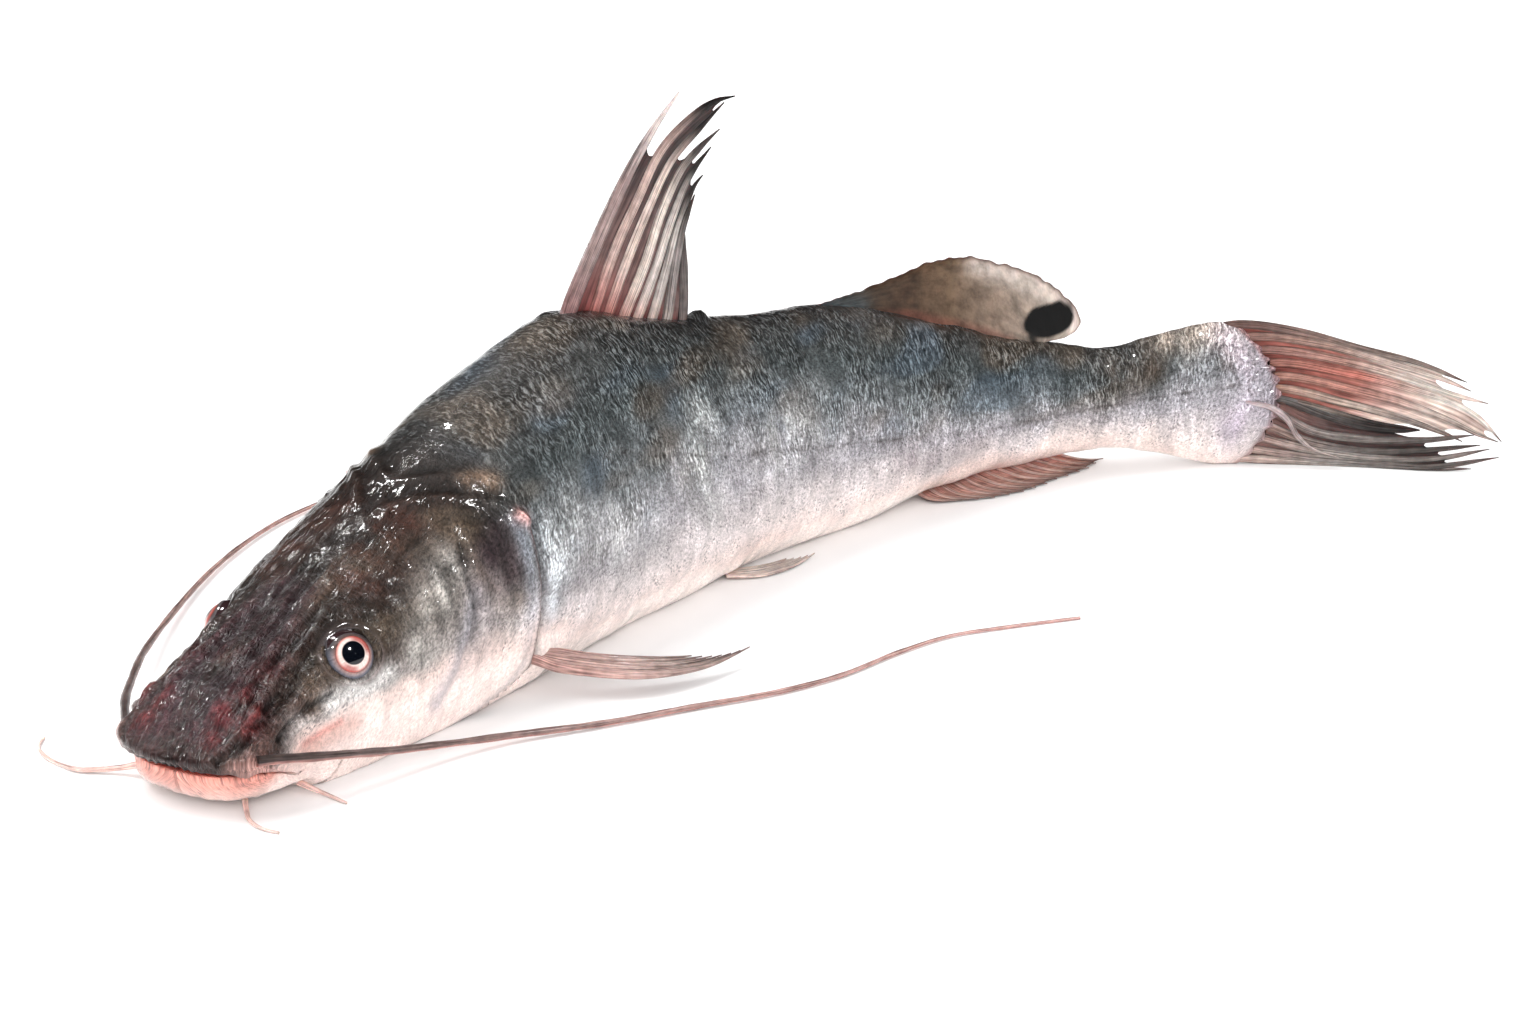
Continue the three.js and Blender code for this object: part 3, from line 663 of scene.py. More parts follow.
relief *= smooth(z, 0.5, 4) * (1 - depth_share) * (1 - 0.8 * lip_share * ~is_top)
points = place(s, side, z)
normals = normals_of(points, flesh_faces)

# Let the skin sink under the eyeballs.
for mirror in (1, -1):
    centre = place(EYE[0], mirror * EYE[1], EYE[2])
    distance = np.linalg.norm(points - centre, axis=1) / MM
    relief -= EYE_SINK * smooth(distance, 10.2, 7.5)
points = points + normals * relief[:, None] * MM
points[:, 2] = np.maximum(points[:, 2], 0)

# ---------------------------------------------------------------- the colours of the skin

dark_z = np.interp(s, *np.array(DARK_EDGE).T) + 2.5 * swell(flesh, 22, 21)
pale_z = np.interp(s, *np.array(PALE_EDGE).T) + 1.6 * swell(flesh, 14, 22)
dark_z = np.maximum(dark_z, pale_z + 4)
top_z = np.maximum(back(s), dark_z + 6)
tone = np.where(
    z < pale_z, 0.2 * smooth(z, pale_z - 9, pale_z),
    np.where(
        z < dark_z, 0.2 + 0.42 * (z - pale_z) / (dark_z - pale_z),
        0.62 + 0.38 * (z - dark_z) / (top_z - dark_z),
    ),
)
TRUNK_BANDS = [
    (0, "fff0ea"), (0.16, "f8e4de"), (0.26, "d8cdcc"), (0.42, "a39fa4"), (0.62, "66696b"),
    (0.8, "44494a"), (1, "373432"),
]
HEAD_BANDS = [
    (0, "fdeae4"), (0.2, "f0d9d2"), (0.36, "a8a09d"), (0.62, "4a3e38"), (0.8, "31261f"), (1, "231a16"),
]
paint, head_paint = bands(tone, TRUNK_BANDS), bands(tone, HEAD_BANDS)
paint = mix(paint, head_paint, (smooth(s, 150, 120))[:, None])

PATCHES = [  # colour, strength, reach in mm and line
    ("32181a", 0.9, 14, [(10, 8, 22), (24, 14, 30), (44, 11, 38)]),
    ("41252c", 0.7, 5, [(15, 5, 28), (31, 6, 35), (57, 6, 45), (72, 4, 50)]),
    ("5e1f22", 0.7, 3.4, [(16, 14, 24), (24, 12, 30)]),
    ("561f21", 0.6, 2.2, [(30, 15, 33), (44, 15.5, 38)]),
    ("632424", 0.7, 2.6, [(23, 21, 25), (29, 20.5, 28.5)]),
    ("c25a50", 0.75, 1.5, [(41, 28, 16), (49, 29.5, 18), (55, 31, 19)]),
    ("dcb7ae", 0.8, 3.5, [(40, 28, 14), (47, 29, 15), (60, 31, 17)]),
    ("dad6d4", 0.85, 3.4, [(53, 29, 25.5), (60, 31, 26), (66, 33, 26), (75, 34, 28)]),
    ("9a9aa4", 0.6, 3.2, [(94, 37, 12), (102, 38, 21), (107, 39, 30), (112, 39, 42)]),
    ("aba6a1", 0.85, 8, [(106, 33, 52), (98, 36, 42), (90, 36, 34)]),
    ("8a8385", 0.6, 8, [(118, 38, 44), (117, 39, 34), (112, 39, 28)]),
    ("43373a", 0.75, 5.5, [(124, 36, 52), (131, 35, 57), (131, 40, 45)]),
    ("472a20", 0.75, 10, [(84, 16, 52), (94, 16, 58), (106, 14, 64)]),
    ("7d6552", 0.5, 4, [(134, 22, 73), (138, 26, 71)]),
    ("b88a84", 0.95, 2.4, [(140, 35, 60), (142, 36, 59)]),
    ("c6cacf", 0.8, 6, [(147, 40, 52), (150, 42, 44), (148, 42, 30)]),
    # Painted reflections: the next three pale grey patches on the mid-flank stand for the bright
    # surroundings mirrored in the wet skin.
    ("b4b3b3", 0.55, 12, [(160, 42, 50), (178, 42, 44), (200, 40, 36)]),
    ("b5b6b5", 0.6, 9, [(240, 30, 66), (234, 36, 51), (238, 36, 38)]),
    ("a9a8a7", 0.5, 14, [(280, 30, 50), (300, 29, 50)]),
    ("4a4038", 0.8, 8, [(462, 10, 42), (480, 9, 42)]),
    ("8f8487", 0.6, 7, [(350, 26, 24), (372, 25, 22), (395, 22, 21)]),
    ("c4b3a5", 0.75, 7, [(490, 4, 52), (503, 3, 54), (512, 3, 50)]),
    ("b9aeb9", 0.85, 9, [(514, 6, 16), (524, 5, 24), (529, 4, 32), (522, 4, 42), (512, 4, 50)]),
    ("e6d3cc", 0.8, 9, [(440, 14, 10), (470, 10, 10), (495, 8, 6)]),
    ("2f2c2c", 0.7, 5, [(205, 4, 106), (235, 3, 99), (268, 2, 90), (330, 2, 83)]),
    ("564f4b", 0.5, 6, [(336, 4, 80), (380, 4, 70)]),
]
# Slow drifts of slate blue and olive brown over the dark of the back.
dark_here = smooth(tone, 0.3, 0.6)
on_trunk = smooth(s, 130, 160) * smooth(s, 450, 400)
blue_drift = smooth(swell(flesh, (34, 26, 20), 25), 0.1, 1.2) * on_trunk
brown_drift = smooth(swell(flesh, (40, 30, 16), 26), 0.1, 1.2)
paint = brush(paint, "4d5b68", 0.4 * dark_here * blue_drift)
paint = brush(paint, "5c5044", 0.5 * dark_here * brown_drift)
broken = 0.85 + 0.35 * swell(flesh, (7, 24, 24), 23)  # patches fray into tall streaks
for code, strength, reach, line in PATCHES:
    paint = brush(paint, code, strength * near(paired, line, reach) * (broken if reach > 5 else 1))
# A pale rim before the gill cover's edge, a dark red line on it and a shadow behind it.
GILL_LINES = [("7d818b", 0.35, -4.5, 7), ("3a1a19", 0.95, -0.3, 1.1), ("39363a", 0.55, 2.5, 5)]
for code, strength, at, spread in GILL_LINES:
    paint = brush(paint, code, strength * np.exp(-((past_gill - at) ** 2) / spread) * gill_here)
rim_share = np.clip(1 - ((z - CAUDAL_BASE_Z) / CAUDAL_BASE_Z) ** 2, 0, 1)
rim_s = HIND_EDGE_AT + HIND_EDGE_BULGE * rim_share
paint = brush(paint, "7d4640", 0.6 * smooth(s, rim_s - 3, rim_s - 0.5))
lateral = near(paired, LATERAL_LINE, 0.8) * (0.6 + 0.4 * swell(flesh, 7, 24))
paint = brush(paint, "3b312e", 0.6 * lateral)
# Lips: a dark upper lip, paler to the corners, a coral lower lip and a deep red slit.
to_corner = smooth(np.abs(side), 17, 26)
upper_lip = lip_share * is_top
lower_lip = lip_share * ~is_top
paint = brush(paint, "33201f", 0.85 * upper_lip * (1 - to_corner))
paint = brush(paint, "c99a92", 0.75 * upper_lip * to_corner)
paint = brush(paint, "e39a8c", 0.9 * lower_lip)
paint = brush(paint, "a03327", smooth(depth_share, 0, 0.3))
paint = brush(paint, "0f0b0b", 0.8 * pores)
# Painted light and shade on the head: the paint is lightened on ridges and folds that stand proud, and
# darkened in grooves, dents and the hollows round the eyes.
paint *= (1 + np.clip(relief / 1.5, -0.5, 0.4) * smooth(s, 150, 135) * smooth(tone, 0.2, 0.5))[:, None]

dashes = smooth(tone, 0.3, 0.6) * smooth(s, 120, 160) * (0.65 + 0.35 * swell(flesh, 18, 31))
dashes += 0.25 * smooth(s, 120, 60) * smooth(tone, 0.2, 0.5)  # a few on the head
stipple = smooth(tone, 0.1, 0.24) * smooth(tone, 0.62, 0.35) * 0.8
wrinkles = smooth(s, 150, 90) * smooth(tone, 0.3, 0.6) * (0.35 + 0.65 * smooth(s, 75, 45))
grain_strength = 0.35 + 0.65 * smooth(tone, 0.15, 0.5)

mouth_centre = place(*rings[0].mean(0))
tail_centre = place(STANDARD_LENGTH - 2, 0, CAUDAL_BASE_Z)
faces = closed_rings(row_count, column_count)
points = np.vstack([points, mouth_centre, tail_centre])


def with_ends(values):
    return np.concatenate([values, values[:1], values[-1:]])


skin_mm = np.stack([s, girth, np.zeros(len(s))], 1)
new_piece(
    "fish_flesh", points, faces, skin_material, "skin", ["body"],
    paint=with_ends(paint), skin_mm=with_ends(skin_mm), dashes=with_ends(dashes),
    stipple=with_ends(stipple), grain=with_ends(grain_strength), wrinkles=with_ends(wrinkles),
)
flesh_tree = BVHTree.FromPolygons([Vector(p) for p in points.tolist()], faces)

# ---------------------------------------------------------------- eyes


def eye_axis(mirror):
    """The eyeball's centre and the way it looks, square to the skin around it."""
    centre = place(EYE[0], mirror * EYE[1], EYE[2])
    facing = unit(place(EYE[0] - 3.5, mirror * (EYE[1] + 8), EYE[2] + 4.6) - centre)
    right = unit(np.cross(facing, [0, 0, 1]))
    return centre, facing, right, np.cross(right, facing)


def skin_height(start, facing):
    """How far the skin is from the eyeball's centre plane, measured along its facing."""
    above, no_skin = 30 * MM, 4 * MM
    hit, _, _, distance = flesh_tree.ray_cast(Vector(start + facing * above), Vector(-facing))
    return above - distance if hit else no_skin


def eyeball_material():
    """A fresh fish eye: a blue-black pupil in a pinkish white iris with blood at its rim, under a
    clear wet cornea that gives small hard highlights."""
    material, shader, add = new_material(
        "clear_wet_eye", Roughness=0.12, Coat_Weight=1, Coat_Roughness=0.02, IOR=1.38,
    )
    paint = add("Attribute", attribute_name="paint")
    iris_mm = add("Attribute", out=1, attribute_name="iris_mm")
    fibres_at = add("Mapping", {"Vector": iris_mm, "Scale": (1 / 2.5, 1 / 0.5, 1)})
    fibres = add("TexNoise", {"Vector": fibres_at, "Scale": 1, "Detail": 3})
    shade = add(
        "MapRange", {"Value": fibres, "From Min": 0.3, "From Max": 0.7, "To Min": 0.85, "To Max": 1.12}
    )
    feed(shader, Base_Color=add("VectorMath", {0: paint, "Scale": shade}, operation="SCALE"))
    return material


eye_material = eyeball_material()


def eyeball(name, mirror):
    centre, facing, right, up = eye_axis(mirror)
    polar = np.concatenate([np.linspace(0.02, 0.9, 60), np.linspace(0.95, 3.1, 24)])
    polar, turn = np.meshgrid(polar, turns_round(EYE_SIDES), indexing="ij")
    radius = EYE_RADIUS + CORNEA * np.exp(-((polar / 0.42) ** 2))
    across = radius * np.sin(polar)
    depth = radius * np.cos(polar) * np.where(polar < np.pi / 2, EYE_FLATNESS, 1)
    offset = facing * depth[..., None] + around_axis(right, up, across, across, turn)
    front = centre + facing * (EYE_RADIUS + CORNEA) * EYE_FLATNESS * MM
    points = np.vstack([(centre + offset * MM).reshape(-1, 3), front, centre - facing * EYE_RADIUS * MM])
    faces = closed_rings(*polar.shape)
    polar, turn, across = (with_ends(grid.ravel()) for grid in (polar, turn, across))
    across = np.where(polar > np.pi / 2, 9, across)
    pupil = 3.6 + 0.35 * np.sin(turn + 0.5)  # a little egg-shaped
    paint = bands(
        across, [(0, "ead8d1"), (4.8, "ead6cf"), (5.3, "c98d84"), (5.8, "6a3a38"), (6.6, "3a2a2c")]
    )
    bloodshot = smooth(np.sin(turn - 0.9), 0.45, 0.95) + smooth(-np.sin(turn - 0.5), 0.75, 1)
    paint = brush(paint, "a8322a", 0.75 * smooth(across, 3.4, 4.4) * smooth(across, 6.2, 5.4) * bloodshot)
    paint = brush(paint, "10141c", smooth(across, pupil + 0.28, pupil - 0.1))
    iris_mm = np.stack([across, turn * 4, 0 * turn], 1)
    new_piece(name, points, faces, eye_material, "eye", [name], paint=paint, iris_mm=iris_mm)


# The lid in rings outwards: distance from the axis, share of skin against ball, height, colour.
LID = [
    (5.0, 0, -0.6, "4f2a29"), (5.5, 0, 0, "8d5a55"), (5.9, 0, 0.3, "b3908c"),
    (6.4, 0.05, 0.4, "a6979b"), (7.0, 0.15, 0.35, "7f7f8c"), (7.5, 0.3, 0.1, "656a78"),
    (8.0, 0.45, 0.1, "777683"), (8.6, 0.65, 0.35, "a89fa3"), (9.2, 0.85, 0.35, "a3908e"),
    (9.9, 0.97, 0.15, "877a79"), (10.7, 1, 0.07, None), (11.6, 1, 0, None), (12.6, 1, -0.12, None),
    (10.5, 0.9, -2.2, None), (8, 0.5, -2.4, None), (6, 0.1, -1.8, None),
]


def eyelid(name, mirror):
    """A fleshy ring from the ball out to the skin around it, darker along its upper side."""
    centre, facing, right, up = eye_axis(mirror)
    ring_points, ring_paint = [], []
    for distance, skin_share, height, code in LID:
        for turn in turns_round(EYE_SIDES):
            spread = 1 + 0.05 * np.cos(2 * (turn - 0.4)) * skin_share
            start = centre + (right * np.cos(turn) + up * np.sin(turn)) * distance * spread * MM
            ball = (max(EYE_RADIUS**2 - min(distance, 8.2) ** 2, 1)) ** 0.5 * EYE_FLATNESS * MM
            level = mix(ball, skin_height(start, facing), skin_share) + height * MM
            at = start + facing * level
            ring_points.append(at)
            nearest = flesh_tree.find_nearest(Vector(at))
            skin_paint = paint[min(min(faces[nearest[2]]), len(paint) - 1)]
            own = hex_colour(code) if code else skin_paint
            above = smooth(np.sin(turn), -0.1, 0.6) * smooth(distance, 5.2, 6)
            own = mix(own, hex_colour("2f2624"), 0.75 * above)
            ring_paint.append(mix(own, skin_paint, 0.25 + 0.5 * smooth(distance, 8, 10.5)))
    turn = np.tile(turns_round(EYE_SIDES), len(LID))
    distance = np.repeat([entry[0] for entry in LID], EYE_SIDES)
    ring_faces = quads(len(LID), EYE_SIDES, around=True, along=True)
    new_piece(
        name, ring_points, ring_faces, skin_material, "skin",
        paint=np.array(ring_paint), skin_mm=np.stack([distance, turn * 8, 0 * turn], 1),
        dashes=0 * turn, stipple=0 * turn, grain=0.3 + 0.3 * smooth(distance, 8, 11),
        wrinkles=0 * turn,
    )


for label, mirror in (("left", 1), ("right", -1)):
    eyeball(f"eye_{label}", mirror)
    eyelid(f"eyelid_{label}", mirror)

# ---------------------------------------------------------------- fins with rays


RAY_POINTS, RAY_SIDES = 44, 10
WEB_THICKNESS = 0.32
RAY_STEP, WEB_SHIFT = 20, 8  # mm between the patterns of neighbouring rays and webs, so that none repeat


class Fin:
    """Gathers the rays and webs of one fin as closed shells of one mesh."""

    def __init__(self):
        self.points, self.faces, self.paint, self.ray_mm, self.count = [], [], [], [], 0

    def shell(self, points, faces, paint, ray_mm):
        self.points.append(points)
        self.faces += [tuple(i + self.count for i in face) for face in faces]
        self.paint.append(paint)
        self.ray_mm.append(ray_mm)
        self.count += len(points)

    def ray(self, path, face, width, thickness, colours, across, rim_dark=0.5):
        """A flattened, tapering ray along a path in metres; face is square to the fin there."""
        rows, sides = len(path), RAY_SIDES
        in_plane = unit(np.cross(face, unit(np.gradient(path, axis=0))))
        t = np.linspace(0, 1, rows)
        half_w, half_t = (np.interp(t, *np.array(size).T)[:, None] / 2 for size in (width, thickness))
        turn = turns_round(sides)
        step = around_axis(in_plane[:, None], face[:, None], half_w * MM, half_t * MM, turn)
        points = np.vstack([(path[:, None] + step).reshape(-1, 3), path[0], path[-1]])
        t_all = np.append(np.repeat(t, sides), [0, 1])
        spread = np.append((half_w * np.cos(turn)).ravel(), [0, 0])
        length = np.linalg.norm(np.diff(path, axis=0), axis=1).sum() / MM
        paint = bands(t_all, colours)
        rim = np.append(np.tile(np.abs(np.cos(turn)) ** 3, rows), [0, 0])
        paint = brush(paint, "3f3736", rim_dark * rim)
        ray_mm = np.stack([t_all * length, across + spread, 0 * t_all], 1)
        self.shell(points, closed_rings(rows, sides), paint, ray_mm)

    def web(self, path_a, path_b, face, reach_a, reach_b, notch, colours, across, sag=0.0):
        """The thin skin between two rays, torn back by a notch at its free edge."""
        rows, columns = 36, 7
        c = np.linspace(0, 1, columns)
        reach = mix(reach_a, reach_b, c) * (1 - notch * np.sin(np.pi * c))
        t = np.linspace(0, 1, rows)[:, None] * reach
        at = t * (len(path_a) - 1)
        low = np.minimum(at.astype(int), len(path_a) - 2)
        part = (at - low)[..., None]
        a = mix(path_a[low], path_a[low + 1], part)
        b = mix(path_b[low], path_b[low + 1], part)
        middle = mix(a, b, c[:, None])
        billow = (np.sin(np.pi * c) * np.sin(np.pi * t / reach))[..., None]
        middle = middle + face[0] * sag * MM * billow
        half = face[0] * WEB_THICKNESS / 2 * MM
        points = np.vstack([(middle + half).reshape(-1, 3), (middle - half).reshape(-1, 3)])
        t_all = np.tile(t.ravel(), 2)
        ray_mm = np.stack([t_all * 60, across + np.tile(c * 2, 2 * rows), 0 * t_all], 1)
        self.shell(points, plate_faces(rows, columns), bands(t_all, colours), ray_mm)

    def finish(self, name, material, slot, replaces):
        points = np.vstack(self.points)
        points[:, 2] = np.maximum(points[:, 2], 0.0001)
        return new_piece(
            name, points, self.faces, material, slot, replaces,
            paint=np.vstack(self.paint), ray_mm=np.vstack(self.ray_mm),
        )


def standing_face(s):
    """Square to a fin that stands along the fish."""
    angle = heading(s)
    return np.stack([np.sin(angle), -np.cos(angle), 0 * angle], 1)


def upright(points):
    """A smooth path through (s, z) points in the fish's middle plane."""
    return smooth_path([(s, 0, z) for s, z in points], RAY_POINTS)


# Back fin: a spine and seven soft rays, (s, z) from the base to the tip.
DORSAL_RAYS = [
    [(207, 104), (209.9, 109.3), (224.4, 129.6), (239.7, 149.2), (252.2, 162), (264, 172)],
    [(217, 98), (220.2, 103.6), (230.1, 121.4), (242.5, 137.9), (254.5, 153), (269.2, 162),
     (281.4, 166.2), (291, 166.6)],
    [(224, 95), (227.6, 101.2), (238, 118.8), (249.2, 135.2), (260.3, 149), (274.1, 158), (286, 165)],
    [(231, 92), (235, 98.5), (246.4, 115.7), (255.1, 132.4), (265.1, 145.4), (274, 151.3), (283.3, 156.1)],
    [(238, 90), (242, 96.6), (251.2, 111.8), (259.9, 128.6), (269, 142.2), (279.3, 150.4)],
    [(246, 88), (249.4, 94.6), (256.7, 110.7), (263.9, 127.2), (271.4, 138.2), (275.3, 141.1)],
    [(254, 86), (256.4, 92.7), (260.6, 109.9), (265.3, 125.1), (270.9, 135)],
    [(262.5, 84), (264.3, 90.3), (265.6, 108.9), (265.2, 119.8), (265.8, 127)],
]
DORSAL_COLOURS = [  # at the base, along the middle and at the tip
    ("9b7675", "a5918e", "d9cdca"), ("b0564e", "cdb3ab", "1d1817"), ("bb5a51", "dcc6bd", "2b2524"),
    ("c0776c", "e2d2c9", "4d4645"), ("cf9f92", "d6c9c3", "2a2625"), ("dcbdb0", "bcb2ad", "3d3635"),
    ("dcc6ba", "9a918e", "4a4340"), ("b19d96", "6f6664", "3b3433"),
]
# Widths and thicknesses along a ray.
SPINE = [(0, 8), (0.4, 6.6), (0.75, 4.2), (1, 0.5)], [(0, 3.4), (0.5, 2.4), (1, 0.7)]
SOFT_RAY = [(0, 5.6), (0.3, 5.2), (0.6, 4.4), (0.85, 3.2), (1, 0.4)], [(0, 2.4), (0.5, 1.5), (1, 0.5)]
# How far the skin between two rays reaches along each of them.
DORSAL_WEBS = [
    (0.76, 0.62), (0.97, 0.97), (0.72, 0.84), (0.84, 0.93), (0.86, 0.93), (0.93, 0.95), (0.9, 0.96),
]

dorsal = Fin()
dorsal_paths, dorsal_faces = [], []
for i, ray in enumerate(DORSAL_RAYS):
    path = upright(ray)
    dorsal_faces.append(standing_face(path[:, 0]))
    dorsal_paths.append(place(path[:, 0], 0.25 * np.sin(2.4 * i) + 0 * path[:, 0], path[:, 2]))
for i, (base, middle, tip) in enumerate(DORSAL_COLOURS):
    width, thickness = SPINE if i == 0 else SOFT_RAY
    colours = [(0, base), (0.25, middle), (0.6, middle), (0.85, tip), (1, tip)]
    dorsal.ray(dorsal_paths[i], dorsal_faces[i], width, thickness, colours, RAY_STEP * i)
for i, (reach_a, reach_b) in enumerate(DORSAL_WEBS):
    dorsal.web(
        dorsal_paths[i], dorsal_paths[i + 1], dorsal_faces[i], reach_a, reach_b, 0.06,
        [(0, "7c3a36"), (0.25, "6d5a57"), (0.6, "4c4645"), (1, "2e2928")], RAY_STEP * i + WEB_SHIFT,
    )
dorsal.finish("dorsal_fin", ray_material, "rayed_fin", ["dorsal_fin"])

# Tail fin: the upper lobe hangs over the lower one. (s, z) from the base to the tip.
UPPER_LOBE = [
    [(506, 54), (515.3, 55.2), (538.9, 52.3), (562.5, 46.6), (586, 41.5), (604.3, 34.8)],
    [(512, 49), (521.5, 50.5), (550.8, 47.3), (578.4, 40.3), (594.2, 36.2), (606.1, 31.4)],
    [(518, 44), (526.9, 45.3), (555.1, 41.8), (582.7, 35.1), (598.5, 30), (613.1, 26.5)],
    [(522, 39), (530.3, 40.4), (559.3, 36.6), (582.9, 31.4), (600.7, 25.9), (610.1, 20.6),
     (619, 11.7)],
    [(524, 34), (532.2, 35.1), (559.7, 30.6), (583.4, 25), (599.4, 19.2), (609.4, 14.6), (617.8, 11.6)],
    [(524, 30), (532.9, 30.2), (556.2, 25.4), (579.9, 19.8), (597.8, 14), (603.9, 11.3)],
    [(522, 27), (531.2, 26), (552.5, 21.2), (568.4, 17.4), (587.2, 15.6)],
]
LOWER_LOBE = [
    [(524, 27), (536.5, 25), (548.5, 20.7), (564.4, 16.6), (580, 15.3), (587, 15.9)],
    [(520, 22), (528.9, 21.5), (545.1, 13.8), (564.8, 11.3), (588.1, 12.2), (608, 14.8)],
    [(516, 18), (524.4, 16.4), (545.4, 9), (565.1, 6.4), (588.3, 8), (610.7, 10.7)],
    [(512, 13), (521.5, 11.4), (545.6, 6), (569.2, 3.9), (592.5, 4.8), (614.3, 9.3)],
    [(510, 8), (519.8, 6.2), (545.7, 3), (569.4, 1.6), (592.7, 1.8), (618, 6.2)],
    [(508, 3), (518.1, 2.2), (545.9, 1), (569.5, 0.8), (592.9, 0.8), (607.6, 1.2)],
]


def caudal_lobe(fin, rays, out, bases, middles, tips, web_colours, reach, first):
    """One lobe of the tail fin, bowed out to the left, with its pattern starting at first."""
    paths, faces_at = [], []
    for i, ray in enumerate(rays):
        path = upright(ray)
        spread = np.clip((path[:, 0] - STANDARD_LENGTH) / 60, 0, 1) ** 2
        sideways = out * spread + 0.3 * np.sin(2.1 * i) * spread
        faces_at.append(standing_face(path[:, 0]))
        paths.append(place(path[:, 0], sideways, path[:, 2]))
    for i, path in enumerate(paths):
        width = [(0, 3.4), (0.3, 3.9), (0.7, 3), (0.9, 1.9), (1, 0.3)]
        colours = [(0, bases[i]), (0.4, middles[i]), (0.7, tips[i]), (0.93, tips[i]), (1, "3b3331")]
        thickness = [(0, 2.4), (0.5, 1.5), (1, 0.4)]
        fin.ray(path, faces_at[i], width, thickness, colours, first + RAY_STEP * i)
    for i, web_reach in enumerate(reach):
        at = first + RAY_STEP * i + WEB_SHIFT
        fin.web(paths[i], paths[i + 1], faces_at[i], web_reach, web_reach, 0.05, web_colours, at)


caudal = Fin()
caudal_lobe(
    caudal, UPPER_LOBE, out=2, first=0, reach=[0.93, 0.86, 0.9, 0.97, 0.9, 0.8],
    bases=["6f5652", "8a6a62", "96706a", "a0776d", "a37f73", "a07a6e", "8a6259"],
    middles=["857069", "a58a80", "b08b80", "b8766a", "b48378", "b3a095", "857870"],
    tips=["83756f", "c5b2a9", "d2c3ba", "d8c9c0", "b5a49c", "9a8c86", "433e3d"],
    web_colours=[(0, "7a4a44"), (0.4, "94685f"), (0.7, "d0c1b8"), (1, "b5a79f")],
)
caudal_lobe(
    caudal, LOWER_LOBE, out=4, first=200, reach=[0.8, 0.82, 0.86, 0.86, 0.82],
    bases=["7d716e", "9a807a", "a8897f", "b3938a", "b99c93", "c9ada4"],
    middles=["57514f", "918985", "7d7572", "a59c97", "918985", "a69d97"],
    tips=["3b3736", "67605d", "57514e", "7a726e", "69625f", "837b77"],
    web_colours=[(0, "8a706a"), (0.4, "4b4543"), (1, "262322")],
)
# The curled, pale skin over the fork.
FORK_SKIN = [
    [(514, 27), (522, 26.5), (530, 25), (536, 21), (540, 14), (546, 8.5), (556, 5)],
    [(513, 25.4), (521, 24.4), (529, 22.3), (535, 17.8), (539, 11.8), (545.5, 7.4), (555.5, 4.6)],
]
fork_paths = []
for out, line in zip((5.6, 4.4), FORK_SKIN):
    path = upright(line)
    fork_paths.append(place(path[:, 0], out + 0 * path[:, 0], path[:, 2]))
caudal.web(
    *fork_paths, standing_face(np.full(RAY_POINTS, 535.0)), 1, 1, 0,
    [(0, "b3a2a6"), (1, "b5a9a3")], 500, sag=1.2,
)
caudal.finish("caudal_fin", ray_material, "rayed_fin", ["caudal_fin"])

UP = np.tile([0.0, 0, 1], (RAY_POINTS, 1))


def lying_fin(
    name, mirror, lead, trail, heights, count, widths, thicknesses, colours, web_colours, reach, drop
):
    """A folded fin lying on the table, its rays spread from the leading line to the trailing one."""
    fin, paths = Fin(), []
    lead, trail = (smooth_path([(*p, 0) for p in line], RAY_POINTS) for line in (lead, trail))
    t = np.linspace(0, 1, RAY_POINTS)
    for i in range(count):
        share = i / (count - 1)
        at = t * (1 - 0.3 * share)  # the rays end one before another along the trailing edge
        line = mix(lead, trail, share)
        line = np.stack([np.interp(at, t, axis) for axis in line.T], 1)
        tilt = mix(-0.5, 0.5, share) * drop * smooth(at, 0, 0.12) * (1 - at**4)
        z = mix(*heights, at) + tilt + 0.8 * drop * at**4
        paths.append(place(line[:, 0], mirror * line[:, 1], np.maximum(z, 0.5)))
    for i, path in enumerate(paths):
        stout = 1.5 if i == 0 else 1
        width = [(0, widths[0] * stout), (0.5, widths[1] * stout), (1, 0.4)]
        thickness = [(0, thicknesses[0] * stout), (0.6, thicknesses[1] * stout), (1, 0.4)]
        fin.ray(path, UP, width, thickness, colours, RAY_STEP * i, rim_dark=0.15)
    for i in range(count - 1):
        at = RAY_STEP * i + WEB_SHIFT
        fin.web(paths[i], paths[i + 1], UP, reach, reach, 0.04, web_colours, at)
    fin.finish(name, ray_material, "rayed_fin", [name])


for label, mirror in (("left", 1), ("right", -1)):
    lying_fin(
        f"pectoral_fin_{label}", mirror, count=7, heights=(13, 3), reach=0.94, drop=3.2,
        lead=[(139, 38), (147, 53), (160, 68), (181, 77), (207, 79)],
        trail=[(144, 37), (154, 52), (165, 62), (183, 72), (206, 76)],
        widths=(2.4, 2), thicknesses=(2.6, 1.4),
        colours=[(0, "d3aaa2"), (0.3, "c4a49d"), (0.7, "ab9993"), (1, "6d5f5c")],
        web_colours=[(0, "bf8f86"), (0.5, "96807b"), (1, "5d5150")],
    )
    lying_fin(
        f"pelvic_fin_{label}", mirror, count=5, heights=(1.4, 0.7), reach=0.95, drop=0.6,
        lead=[(262, 23), (273, 30.5), (288, 32), (303, 29)],
        trail=[(266, 20), (278, 25), (290, 26), (302, 25)],
        widths=(1.9, 1.6), thicknesses=(0.9, 0.6),
        colours=[(0, "ecd6ce"), (0.5, "d6c4bd"), (1, "b0a19b")],
        web_colours=[(0, "e0cac1"), (1, "b3a29b")],
    )

